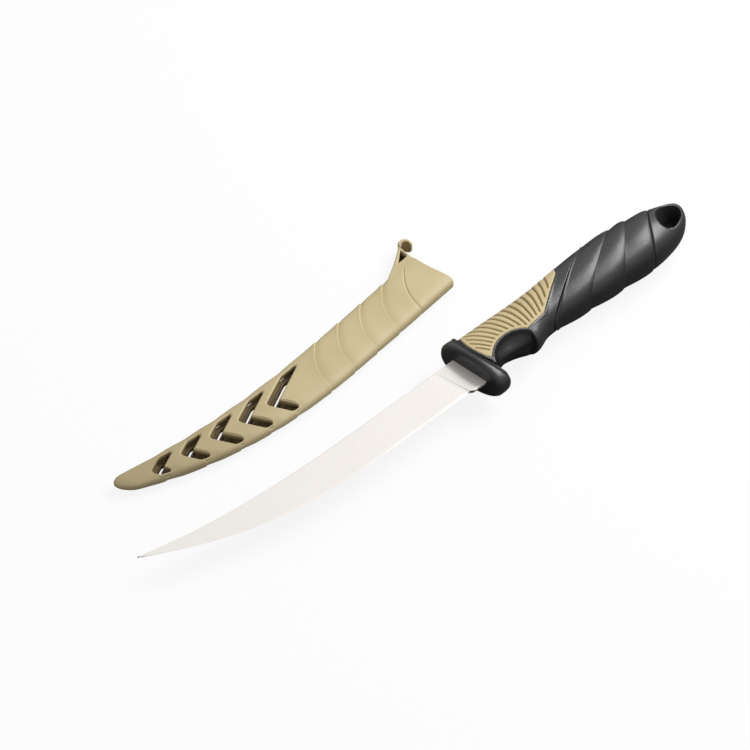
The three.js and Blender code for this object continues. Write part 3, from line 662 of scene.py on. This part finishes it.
def fingerScoop(x, y):
    # steepest at its rim, gentler at the guard, with a hollow floor that comes back up to the belly
    f = finger
    arch = f["radius"] - np.hypot(x - f["x"], y - f["y"])
    ahead = np.clip((f["x"] - x) / f["radius"], 0, 1) ** 2
    wall = 1 - (1 - np.clip(arch / (f["run"] + f["guardRun"] * ahead), 0, 1)) ** f["wallPower"]
    hollow = np.sin(np.pi * np.clip(arch / f["span"], 0, 1)) ** f["sagPower"]
    sag = f["sag"] * hollow * smoothStep(x, *f["sagRun"])
    return (wall + sag) * smoothStep(f["ridge"] - x, 0, f["ridgeRun"])


def frameRelief(x, y):
    f = frontFrame
    inside = insideDistance(inlayOutline(), x, y)
    scoop = finger["depth"] * fingerScoop(x, y)
    groove = f["groove"] * smoothStep(inlayFrontX(y) - x, f["rim"], f["rim"] + 0.4)
    pocket = f["pocket"] * smoothStep(inside, 0.05, 0.4)
    bead = f["bead"] * np.exp(-((inside + f["beadOut"]) / f["beadWidth"]) ** 2)
    flare = f["flare"] * (1 - smoothStep(x, *f["flareRun"])) * smoothStep(-y, *f["flareDrop"])  # into the guard
    return bead + flare - np.maximum(np.maximum(scoop, groove), pocket)


def makeFrontFrame():
    f = frontFrame
    seam = spiral["places"][0] - spiral["gap"]
    places = np.arange(handle["start"], seam - 0.6, f["step"])
    rows = [spiralRing(places[0], depth, f["sides"]) for depth in (-20, -6)]
    for place in places:
        x, y, z = spiralRing(place, 0, f["sides"])
        rows.append(spiralRing(place, frameRelief(x, y), f["sides"]))
    rows += [spiralRing(seam - back, depth, f["sides"]) for back, depth in f["seamLip"]]
    return wrapRows(stackRows(*rows))


# thumb inlay: a saddle over the spine with a fan of rounded grooves

def fanX(place, y):
    return place + inlay["ribFan"] * (place - inlay["ribUpright"]) * (y - inlay["ribY"])


def ribDepth(outline, x, y):
    i = inlay
    place = (x + i["ribFan"] * i["ribUpright"] * (y - i["ribY"])) / (1 + i["ribFan"] * (y - i["ribY"]))
    nearest = np.clip(np.round((place - i["ribFirst"]) / i["ribPitch"]), 0, i["ribs"] - 1)
    off = np.abs(place - i["ribFirst"] - nearest * i["ribPitch"]) / i["ribHalf"]
    rib = np.cos(np.clip(off, 0, 1) * np.pi / 2)
    return rib * smoothStep(insideDistance(outline, x, y), i["ribMargin"], i["ribMargin"] + 0.7)


def inlayRelief(outline, x, y):
    i = inlay
    inside = insideDistance(outline, x, y)
    rib = ribDepth(outline, x, y)
    edge = 1 - np.clip(inside / i["roundOver"], 0, 1)
    return i["proud"] - i["ribDepth"] * rib - i["roundOver"] * (1 - np.sqrt(1 - edge ** 2))


def makeInlay():
    i, outline = inlay, inlayOutline()
    angles = np.radians(np.linspace(-i["around"], i["around"], 170))
    under = np.radians(np.linspace(i["aroundUnder"], -i["aroundUnder"], 24))
    rows = []
    for place in np.arange(i["from"], i["to"], i["step"]):
        at = np.full(len(angles), place)
        x, y, z = handlePoints(fanX, at, angles)
        outer = handlePoints(fanX, at, angles, inlayRelief(outline, x, y))
        inner = handlePoints(fanX, np.full(len(under), place), under, -i["depth"])
        rows.append([np.concatenate(pair) for pair in zip(outer, inner)])
    piece = toObject(wrapRows(stackRows(*rows)), "thumbInlay")
    carve(piece, toObject(extrudeOutline(outline, -30, 30), "inlayOutline"), "INTERSECT")
    # painted shade: the rib grooves are darkened by the shade attribute
    return setShade(piece, lambda x, y, z: i["ribShade"] * ribDepth(outline, x, y) ** 1.5)


# grip sleeve: three twisted pillows that meet in creases

def lobeRelief(place):
    places = spiral["places"]
    i = int(np.clip(np.searchsorted(places, place) - 1, 0, 2))
    t = np.clip((place - places[i]) / (places[i + 1] - places[i]), 0, 1)
    start = spiral["rim"] if i == 0 else spiral["crease"]
    end = spiral["rim"] if i == 2 else spiral["crease"]
    lip = spiral["lip"] * math.exp(-((place - places[0] - spiral["lipAt"]) / spiral["lipWidth"]) ** 2)
    peak = spiral["lead"] / (spiral["lead"] + spiral["drop"])
    swell = (t / peak) ** spiral["lead"] * ((1 - t) / (1 - peak)) ** spiral["drop"]
    return lip + spiral["bulge"] * swell - start * (1 - t) ** 1.5 - end * t ** 1.5


def lipRows(edge, side, sides, reliefAt):
    # a rounded lip beside a seam: side is +1 where the piece lies behind the seam
    rows = []
    for out, depth in ((0, -3), (0, -1), (0, -0.55), (0.08, -0.3), (0.25, -0.12), (0.5, -0.03)):
        place = edge + side * out
        rows.append(spiralRing(place, reliefAt(place) + depth, sides))
    return rows if side > 0 else rows[::-1]


def makeSleeve():
    sides = spiral["sides"]
    front = spiral["places"][0] + spiral["gap"]
    rear = spiral["places"][3] - spiral["gap"] * 0.6
    fine = [place + d for place in spiral["places"][1:3] for d in np.linspace(-1.2, 1.2, 17)]
    coarse = np.arange(front + 0.8, rear - 0.8, 0.6)
    away = np.min(np.abs(coarse[:, None] - np.array(spiral["places"][1:3])), axis=1) > 1.4
    places = np.sort(np.concatenate([coarse[away], fine]))
    rows = lipRows(front, 1, sides, lobeRelief)
    rows += [spiralRing(place, lobeRelief(place), sides) for place in places]
    rows += lipRows(rear, -1, sides, lobeRelief)
    rows += [spiralRing(place, -3, sides) for place in np.linspace(rear, front, 30)[1:-1]]
    rows.append(rows[0])
    return wrapRows(stackRows(*rows))


# butt cap: rounded end with a lanyard hole right through it

butt = {
    "x": 130.9, "y": 0.0, "halfLength": 9.3, "halfHeight": 5.3, "turn": 26, "rim": 1.1, "draft": 2.2,
    "corner": 0.05, "cornerAt": 85, "sides": 176, "endRound": 138, "step": 0.55,
}


def makeButt():
    b = butt
    front = spiral["places"][3] + spiral["gap"] * 0.6
    rows = [spiralRing(front, depth, b["sides"]) for depth in (-20, -8, -5)]
    rows += lipRows(front, 1, b["sides"], lambda place: 0)
    rows += [spiralRing(place, 0, b["sides"]) for place in np.arange(front + 0.9, b["endRound"], b["step"])]
    turn = np.linspace(0, np.pi / 2, 16)[1:-1]
    last = handle["end"] - b["endRound"]
    rows += [spiralRing(b["endRound"] + last * math.sin(q), 0, b["sides"]) for q in turn]
    rows.append(spiralRing(handle["end"], -20, b["sides"]))
    piece = toObject(wrapRows(stackRows(*rows)), "buttCap")
    angle, turn = roundTable(72), math.radians(b["turn"])
    reach = 1 + b["corner"] * np.cos(3 * (angle - math.radians(b["cornerAt"])))
    u, v = b["halfLength"] * reach * np.cos(angle), b["halfHeight"] * reach * np.sin(angle)
    oval = np.stack([b["x"] + u * math.cos(turn) - v * math.sin(turn),
                     b["y"] + u * math.sin(turn) + v * math.cos(turn)], 1)
    for side, shape, draft in ((1, oval, b["draft"]), (-1, grow(oval, -b["draft"]), 0)):
        tool = rimTool(shape, handleHeight, b["rim"], side, -0.1, 16, draft)
        carve(piece, toObject(tool, "lanyardTool"))
    return piece


# sheath: two shells around the blade, with scale ridges, slots, and an ear with a latch

sheath = {
    "spineAbove": 2.2, "bellyLow": 12.8, "bellyStart": 60, "bellyRise": 31, "bellyPower": 2.6,
    "length": 187.4, "tipRound": 6, "tipBlend": 50, "wall": 1.6,
    "cavities": [(-6, 166, 2.2), (150, 178.4, 1.2)],  # start, end and half depth
    "halfMouth": 4.1, "halfTip": 3.4, "squareness": 3.0, "mouthSpine": 4.6, "mouthBelly": 3.2, "mouthBlend": 45,
    "rearSquareness": 2.4, "back": 3.8, "seam": 0.04, "sides": 72, "step": 0.62,
    "scaleFirst": 17.6, "scalePitch": 15.8, "scales": 5, "lean": 0.8, "bow": 0.032,
    "dip": 0.48, "dipRun": 5, "rise": 0.55, "crest": 0.32, "crestFade": 3, "groove": 0.36, "lipRound": 0.7,
    "throat": 0.8, "throatBow": 0.008, "cornerY": -9.4, "cornerRun": 4, "cornerDepth": 1.6,
    "taper": 28, "taperFront": 0.5, "taperRear": 0.4, "farShade": 0.26, "turn": 6.1, "x": 41.6, "y": 61.3,
}
slots = {
    "count": 5, "first": 112.2, "pitch": 15.3, "y": 2, "rise": 3.2, "spineSlope": 0.34, "edgeLean": 0.43,
    "spineWidth": 3.2, "edgeWidth": 4.2, "spineRim": 4.2, "edgeRim": 2.3, "corner": 0.9,
    "round": 1.1, "rim": 0.75, "flute": 0.8, "fluteSide": 0.2, "frontGrow": 0.6, "rearGrow": -0.8,
    "collar": 0.9, "collarLow": 1.1, "collarHigh": 2.25, "wave": 0.4, "waveRun": 4.5, "from": 80, "shade": 0.9,
}
ear = {
    "start": 15, "height": 20.1, "half": 3.4, "sink": 3, "hollowX": 7, "hollow": 2.8, "fade": 0.2,
    "roundOver": 0.8, "far": 5.8, "low": 13, "high": 17.7, "strut": 1.2, "rim": 0.35,
}
latch = {
    "thickness": 1.6, "rise": 2.1, "lip": 1.4, "lipX": 8.8, "bend": 2.6, "round": 4.7, "tongue": 2.5,
    "nose": 0.5, "hold": 0.7, "gap": 0.18, "roundOver": 0.6, "shade": 0.7,
}


def sheathSpine(ahead):
    return spineAt(ahead) + sheath["spineAbove"]


def sheathBelly(ahead):
    s = sheath
    return sweep(ahead, s["bellyStart"], s["length"], s["bellyRise"], s["bellyPower"]) - s["bellyLow"]


def throatAt(y):
    s = sheath
    corner = np.maximum(0, s["cornerY"] - y) / s["cornerRun"]
    return s["throat"] + s["throatBow"] * y ** 2 - s["cornerDepth"] * corner ** 2


def sheathSquareness(ahead, side, toSpine):
    s = sheath
    if side < 0:
        return s["rearSquareness"] + 0 * toSpine
    mouth = np.where(toSpine > 0, s["mouthSpine"], s["mouthBelly"])
    return mouth + (s["squareness"] - mouth) * smoothStep(ahead, 0, s["mouthBlend"])


def sheathThick(ahead):
    return sheath["halfMouth"] + (sheath["halfTip"] - sheath["halfMouth"]) * ahead / sheath["length"]


def sheathHeight(x, y, side):
    ahead = -x
    centre = (sheathSpine(ahead) + sheathBelly(ahead)) / 2
    half = (sheathSpine(ahead) - sheathBelly(ahead)) / 2
    n = sheathSquareness(ahead, side, y - centre)
    share = np.clip(np.abs((y - centre) / half), 0, 0.98)
    return np.minimum(sheathThick(ahead) * (1 - share ** n) ** (1 / n), sheath["back"] + 0.3)


def scaleRelief(ahead):
    # the first line is a groove; at the others the skin dips, then rises sharply to a crest
    s, relief = sheath, 0.0
    for k in range(s["scales"]):
        past = ahead - s["scaleFirst"] - k * s["scalePitch"]
        if k == 0:
            relief -= s["groove"] * math.exp(-(past / 0.45) ** 2)
        elif past < 0:
            relief -= s["dip"] * max(0, 1 + past / s["dipRun"]) ** 2
        elif past < s["rise"]:
            relief += (s["dip"] + s["crest"]) * float(smoothStep(past, 0, s["rise"])) - s["dip"]
        else:
            relief += s["crest"] * math.exp((s["rise"] - past) / s["crestFade"])
    return relief


def fluteRelief(x, y, ahead):
    # each slot's edge leg runs on as a shallow flute over the lower side
    fade = 1 - smoothStep(y - sheathBelly(ahead), 2.2, 4.6)
    depth = np.zeros_like(x)
    for k in range(slots["count"]):
        vertexX = -(slots["first"] + k * slots["pitch"])
        vertexY = slots["y"] + k * slots["rise"]
        across = x - vertexX - slots["edgeLean"] * (vertexY - y)
        wave = smoothStep(across, -0.3, 0.3) * (1 - smoothStep(across, 0.4, 7.5))
        depth = np.maximum(depth, wave)
    return -slots["flute"] * depth * fade


def sheathRing(row, angle, side):
    s = sheath
    middle = (sheathSpine(row) + sheathBelly(row)) / 2
    beyond = max(0, row - (s["length"] - s["tipRound"])) / s["tipRound"]
    shrink = math.sqrt(max(0.0, 1 - beyond ** 2))
    straighten = float(1 - smoothStep(row, s["length"] - s["tipBlend"], s["length"]))
    straighten *= min(1, row / s["scaleFirst"])
    c, up = superEllipse(angle, sheathSquareness(row, side, np.cos(angle)))
    x = np.full(len(angle), float(row))
    for _ in range(6):
        half = (sheathSpine(x) - sheathBelly(x)) / 2
        centre = (sheathSpine(x) + sheathBelly(x)) / 2
        rise = centre + half * shrink * c - middle
        x = row - straighten * (s["lean"] * rise + s["bow"] * rise ** 2)
    lip = max(0, 1 - row / s["lipRound"])
    inset = s["lipRound"] * (1 - math.sqrt(1 - lip ** 2))
    relief = scaleRelief(row) - inset
    y = centre + (half * shrink + relief * 0.5) * c
    flute = fluteRelief(-x, y, x) if row > slots["from"] else 0
    for top in slotTops if row > slots["from"] else ():
        y = y - slots["wave"] * np.maximum(c, 0) ** 2 * np.exp(-((x + top) / slots["waveRun"]) ** 2)
    y = y + slots["fluteSide"] * flute * c
    thin = s["taperFront"] if side > 0 else s["taperRear"]
    thin = 1 - thin * float(smoothStep(row, s["length"] - s["taper"], s["length"] + 4))
    z = (sheathThick(x) * thin + relief + flute) * shrink * up
    return throatAt(y) * max(0, 1 - row / s["scaleFirst"]) - x, y, z


def slotOutline(index):
    s = slots
    x, y = -(s["first"] + index * s["pitch"]), s["y"] + index * s["rise"]

    def meetRim(start, step, room):
        low, high = 0.0, 60.0
        for _ in range(40):
            middle = (low + high) / 2
            spot = start + middle * step
            low, high = (middle, high) if room(spot) > 0 else (low, middle)
        return start + low * step

    toSpine, toEdge = np.array([1, s["spineSlope"]]), np.array([s["edgeLean"], -1])
    outer = np.array([x, y])
    inner = outer + s["edgeWidth"] * toSpine - np.array([0, s["spineWidth"]])
    underSpine = lambda spot: sheathSpine(-spot[0]) - s["spineRim"] - spot[1]
    aboveEdge = lambda spot: spot[1] - sheathBelly(-spot[0]) - s["edgeRim"]
    corners = [
        outer + s["corner"] * toSpine, outer + s["corner"] * toEdge,
        meetRim(outer, toEdge, aboveEdge), meetRim(inner, toEdge, aboveEdge), inner,
        meetRim(inner, toSpine, underSpine), meetRim(outer, toSpine, underSpine),
    ]
    return roundCorners(corners, s["round"])


slotTops = [outline[np.argmax(outline[:, 1]), 0] for outline in map(slotOutline, range(slots["count"]))]


def shellShade(side):
    # painted shade: dark brown inside the slots and the window, and a slow painted darkening toward the tip
    holes = [grow(slotOutline(k), 1.0) for k in range(slots["count"])]
    window = grow(windowOutline(), 0.25)

    def shadeAt(x, y, z):
        deep = smoothStep(sheathHeight(x, y, side) - side * z, 0.3, 1.3)
        near = np.max([insideDistance(hole, x, y) for hole in holes], axis=0)
        dark = smoothStep(insideDistance(window, x, y), 0, 0.15) * smoothStep(ear["half"] - side * z, 0.3, 1.0)
        far = sheath["farShade"] * smoothStep(-x, 80, 185)
        return np.maximum(np.maximum(slots["shade"] * deep * smoothStep(near, 0, 0.3), dark), far)

    return shadeAt


def windowOutline():
    e = ear
    corners = [(-e["far"], e["low"]), (throatAt(e["low"]) - e["strut"], e["low"]),
               (throatAt(e["high"]) - e["strut"], e["high"])]
    return roundCorners(corners, 0.6)


def earOutline():
    e, root = ear, float(sheathSpine(0))
    front = [(throatAt(y) + 0.02, y) for y in np.linspace(root - e["sink"], e["height"], 10)]
    back = bend(front[-1], (-e["hollowX"], root + e["hollow"]), (-e["start"], root - e["fade"]), 14)
    return [*front, *back[1:], (-e["start"] - 2 * e["sink"], root - e["sink"])]


def makeShell(name, side):
    s = sheath
    tipStart = s["length"] - s["tipRound"]
    lines = [s["scaleFirst"] + k * s["scalePitch"] for k in range(s["scales"])]
    rows = np.concatenate([
        s["lipRound"] * np.linspace(0, 1, 6) ** 1.5,
        np.arange(1.2, tipStart, s["step"]),
        [line + d for line in lines for d in np.linspace(-0.5, 0.9, 11)],
        tipStart + s["tipRound"] * np.sin(np.linspace(0, np.pi / 2, 14)),
    ])
    over = np.linspace(0, np.pi, s["sides"])
    sections = [(0.0, 0.0), *((row, 1.0) for row in np.unique(np.round(rows, 3)))]
    wrapped = []
    for row, share in sections:
        x, y, z = sheathRing(row, over, side)
        z = s["seam"] + z * share
        if side < 0:
            z = np.minimum(z, s["back"])
        flat = np.full(len(over) - 2, s["seam"])
        wrapped.append((thereAndBack(x), thereAndBack(y), side * np.concatenate([z, flat])))
    shell = toObject(wrapRows(stackRows(*wrapped)), name)
    root = extrudeOutline(earOutline(), s["seam"] + 0.013, ear["half"])
    top = [e for e in root.edges if all(v.co.z > ear["half"] - 1e-4 for v in e.verts)]
    roundEdges(root, top, ear["roundOver"])
    if side < 0:
        bmesh.ops.scale(root, vec=(1, 1, -1), verts=root.verts)
        bmesh.ops.reverse_faces(root, faces=root.faces)
    carve(shell, toObject(root, "ear"), "UNION")
    for start, end, half in s["cavities"]:
        ahead = np.linspace(start, end, 60)
        upper = np.stack([-ahead, sheathSpine(ahead) - s["wall"]], 1)
        lower = np.stack([-ahead, sheathBelly(ahead) + s["wall"]], 1)[::-1]
        carve(shell, toObject(extrudeOutline(np.concatenate([upper, lower]), -half, half), "cavity"))
    surface = lambda x, y: sheathHeight(x, y, side)
    earTop = lambda x, y: np.full(len(x), ear["half"] + 0.01)
    wider = slots["frontGrow"] if side > 0 else slots["rearGrow"]
    ends = sorted((side * slots["collarLow"], side * slots["collarHigh"]))
    holes = [slotOutline(k) for k in range(slots["count"])]
    collars = [extrudeOutline(grow(hole, wider + slots["collar"]), *ends) for hole in holes]
    carve(shell, toObject(joinMeshes(collars), "collars"), "UNION")
    tools = [rimTool(grow(hole, wider), surface, slots["rim"], side, -0.5, 9) for hole in holes]
    tools.append(rimTool(windowOutline(), earTop, ear["rim"], side, -0.5, 9))
    carve(shell, toObject(joinMeshes(tools), "openings"))
    return setShade(shell, shellShade(side))


def makeLatch():
    k = latch
    rootLow, farTop = ear["height"] - k["thickness"], ear["height"] + k["rise"]
    farLow, lipEnd = farTop - k["thickness"], k["lipX"] + k["lip"]
    lipLow = guard["centreY"] + guard["halfHeight"] - k["hold"]

    outline = [
        (throatAt(rootLow) + k["gap"], rootLow),
        *bend((k["lipX"] - k["bend"], farLow - 0.25), (k["lipX"], farLow), (k["lipX"], farLow - k["bend"]), 9),
        *bend((k["lipX"], lipLow + k["nose"]), (k["lipX"] + k["lip"] / 2, lipLow - k["nose"]),
              (lipEnd, lipLow + k["nose"])),
        *bend((lipEnd, farTop - k["round"]), (lipEnd + 0.2, farTop + 0.6),
              (lipEnd - k["round"], farTop - 0.5), 12),
        (throatAt(ear["height"]) + k["gap"], ear["height"]),
    ]
    bm = extrudeOutline(outline, -ear["half"], ear["half"])
    rim = [e for e in bm.edges if abs(e.verts[0].co.z - e.verts[1].co.z) < 1e-6]
    roundEdges(bm, rim, k["roundOver"])
    for v in bm.verts:
        if v.co.x > k["lipX"] - 1:  # the lip ends in a round tongue
            short = k["tongue"] - min(max(v.co.y - lipLow, 0), k["tongue"])
            v.co.z *= 1 - (k["tongue"] - math.sqrt(k["tongue"] ** 2 - short ** 2)) / ear["half"]

    # painted shade on the underside of the strap and inside the lip
    def shadeAt(x, y, z):
        under = smoothStep(farLow + 0.3 - y, 0, 0.4) * smoothStep(k["lipX"] + 0.3 - x, 0, 0.3)
        return k["shade"] * under * smoothStep(ear["half"] - np.abs(z), 0.1, 0.7)

    return setShade(toObject(bm, "guardLatch"), shadeAt)


# places of the knife and the sheath in the shared frame

bladeLow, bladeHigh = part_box("blade")
coreLow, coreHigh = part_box("handle_core")
knifeAt = Vector((bladeLow.x + blade["length"] * mm,
                  coreLow.y + (guard["halfHeight"] - guard["centreY"]) * mm,
                  (bladeLow.z + bladeHigh.z) / 2))
sheathAt = Vector((knifeAt.x + sheath["x"] * mm, knifeAt.y + sheath["y"] * mm, sheath["back"] * mm))
knifePlace = Matrix.Translation(knifeAt) @ Matrix.Scale(mm, 4)
sheathTurn = Matrix.Rotation(math.radians(sheath["turn"]), 4, "Z")
sheathPlace = Matrix.Translation(sheathAt) @ sheathTurn @ Matrix.Scale(mm, 4)

steelBlade = setShade(toObject(makeBlade(), "filletBlade"), bladeShade)
settle(steelBlade, knifePlace, "knife", satinSteel, "blade", 20)
settle(toObject(makeGuard(), "fingerGuard"), knifePlace, "knife", hardBlack)
# painted shade: the finger recess is darkened by the shade attribute
frontCore = setShade(toObject(makeFrontFrame(), "frontFrame"), lambda x, y, z: fingerScoop(x, y))
settle(frontCore, knifePlace, "knife", hardBlack, "handle_core", 50)
settle(makeInlay(), knifePlace, "knife", softTan, "thumb_inlay", 50)
settle(toObject(makeSleeve(), "gripSleeve"), knifePlace, "knife", softBlack, "grip_sleeve", 60)
settle(makeButt(), knifePlace, "knife", hardBlack, "butt_cap", 50)
settle(makeShell("sheathFront", 1), sheathPlace, "sheath", hardTan, "sheath_front_shell", 45)
settle(makeShell("sheathRear", -1), sheathPlace, "sheath", hardTan, "sheath_rear_shell", 45)
settle(makeLatch(), sheathPlace, "latch", hardTan, "guard_latch", 45)


# stage: pale floor, a soft lamp and the camera

stage = {
    "floor": 8.0, "drop": 0.0001, "pale": 0.9, "bounce": 0.45, "lift": 0.88, "mirror": 0.12,
    "fill": 0.42, "low": 0.2, "horizon": 0.15, "high": 0.6,
}
keyLamp = {"at": (0.78, -0.14, 0.76), "size": (0.8, 0.32), "power": 11.2}
camera = {
    "target": (-0.00315, 0.0043, -0.0013), "azimuth": -46.5, "elevation": 42.5, "distance": 1.8,
    "lens": 200.23, "sensor": 36, "farthest": 20,
}


def makeFloor():
    # the camera sees it near white with the shadow kept; other rays, and gloss most of all, see it darker
    bm = bmesh.new()
    bmesh.ops.create_grid(bm, x_segments=1, y_segments=1, size=stage["floor"] / 2)
    bmesh.ops.translate(bm, verts=bm.verts, vec=(0, 0, -stage["drop"]))
    floor = toObject(bm, "floor")
    material, tree, shader, spot = newMaterial("paleFloor")
    tone = addNode(tree, "ShaderNodeMapRange", (-400, 0), To_Max=stage["pale"])
    shader.inputs["Roughness"].default_value = 0.9
    shader.inputs["Specular IOR Level"].default_value = 0.0
    path = addNode(tree, "ShaderNodeLightPath", (-600, 300))
    lift = addNode(tree, "ShaderNodeMath", (-200, 300), operation="MULTIPLY")
    lift.inputs[1].default_value = stage["lift"]
    dim = addNode(tree, "ShaderNodeMapRange", (-600, 0), To_Min=stage["bounce"], To_Max=stage["mirror"])
    glow = addNode(tree, "ShaderNodeEmission", (-200, 100), Strength=1.0)
    mix = addNode(tree, "ShaderNodeMixShader", (300, 200))
    tree.links.new(path.outputs["Is Camera Ray"], tone.inputs["Value"])
    tree.links.new(tone.outputs[0], shader.inputs["Base Color"])
    tree.links.new(path.outputs["Is Camera Ray"], lift.inputs[0])
    tree.links.new(path.outputs["Is Glossy Ray"], dim.inputs["Value"])
    tree.links.new(dim.outputs[0], tone.inputs["To Min"])
    tree.links.new(lift.outputs[0], mix.inputs[0])
    tree.links.new(shader.outputs[0], mix.inputs[1])
    tree.links.new(glow.outputs[0], mix.inputs[2])
    tree.links.new(mix.outputs[0], tree.nodes["Material Output"].inputs["Surface"])
    floor.data.materials.append(material)


def makeWorld():
    # white to the camera; to gloss, a sky that darkens toward the horizon
    world = bpy.data.worlds.new("studio")
    bpy.context.scene.world = world
    world.use_nodes = True
    tree = world.node_tree
    path = addNode(tree, "ShaderNodeLightPath", (-800, 200))
    seen = addNode(tree, "ShaderNodeMath", (-600, 200), operation="MAXIMUM")
    white = addNode(tree, "ShaderNodeMath", (-400, 200), operation="MAXIMUM")
    level = addNode(tree, "ShaderNodeMapRange", (-200, 200), To_Min=stage["fill"])
    place = addNode(tree, "ShaderNodeTexCoord", (-1200, -100))
    parts = addNode(tree, "ShaderNodeSeparateXYZ", (-1000, -100))
    sky = addNode(tree, "ShaderNodeMapRange", (-800, -100), interpolation_type="SMOOTHSTEP",
                  From_Min=stage["horizon"], From_Max=stage["high"], To_Min=stage["low"])
    mirror = addNode(tree, "ShaderNodeMath", (-600, 0), operation="MULTIPLY")
    tree.links.new(place.outputs["Generated"], parts.inputs[0])
    tree.links.new(parts.outputs["Z"], sky.inputs["Value"])
    tree.links.new(path.outputs["Is Glossy Ray"], mirror.inputs[0])
    tree.links.new(sky.outputs[0], mirror.inputs[1])
    tree.links.new(path.outputs["Is Camera Ray"], seen.inputs[0])
    tree.links.new(mirror.outputs[0], seen.inputs[1])
    tree.links.new(seen.outputs[0], white.inputs[0])
    tree.links.new(path.outputs["Is Transmission Ray"], white.inputs[1])
    tree.links.new(white.outputs[0], level.inputs["Value"])
    tree.links.new(level.outputs[0], tree.nodes["Background"].inputs["Strength"])
    tree.nodes["Background"].inputs["Color"].default_value = (1, 1, 1, 1)


def aim(name, data, at, toward):
    holder = bpy.data.objects.new(name, data)
    holder.location = at
    holder.rotation_mode = "QUATERNION"
    holder.rotation_quaternion = toward.to_track_quat("-Z", "Y")
    bpy.context.scene.collection.objects.link(holder)
    return holder


def makeLamp():
    light = bpy.data.lights.new("keyLamp", "AREA")
    light.shape = "RECTANGLE"
    light.size, light.size_y = keyLamp["size"]
    light.energy = keyLamp["power"]
    aim("keyLamp", light, keyLamp["at"], -Vector(keyLamp["at"]))


def makeCamera():
    a, e = math.radians(camera["azimuth"]), math.radians(camera["elevation"])
    back = Vector((math.sin(a) * math.cos(e), -math.cos(a) * math.cos(e), math.sin(e)))
    lens = bpy.data.cameras.new("photoCamera")
    lens.lens = camera["lens"]
    lens.sensor_width = camera["sensor"]
    lens.clip_end = camera["farthest"]
    at = Vector(camera["target"]) + back * camera["distance"]
    bpy.context.scene.camera = aim("photoCamera", lens, at, -back)


makeFloor()
makeWorld()
makeLamp()
makeCamera()
bpy.context.scene.view_settings.view_transform = "Standard"
print("stage set")
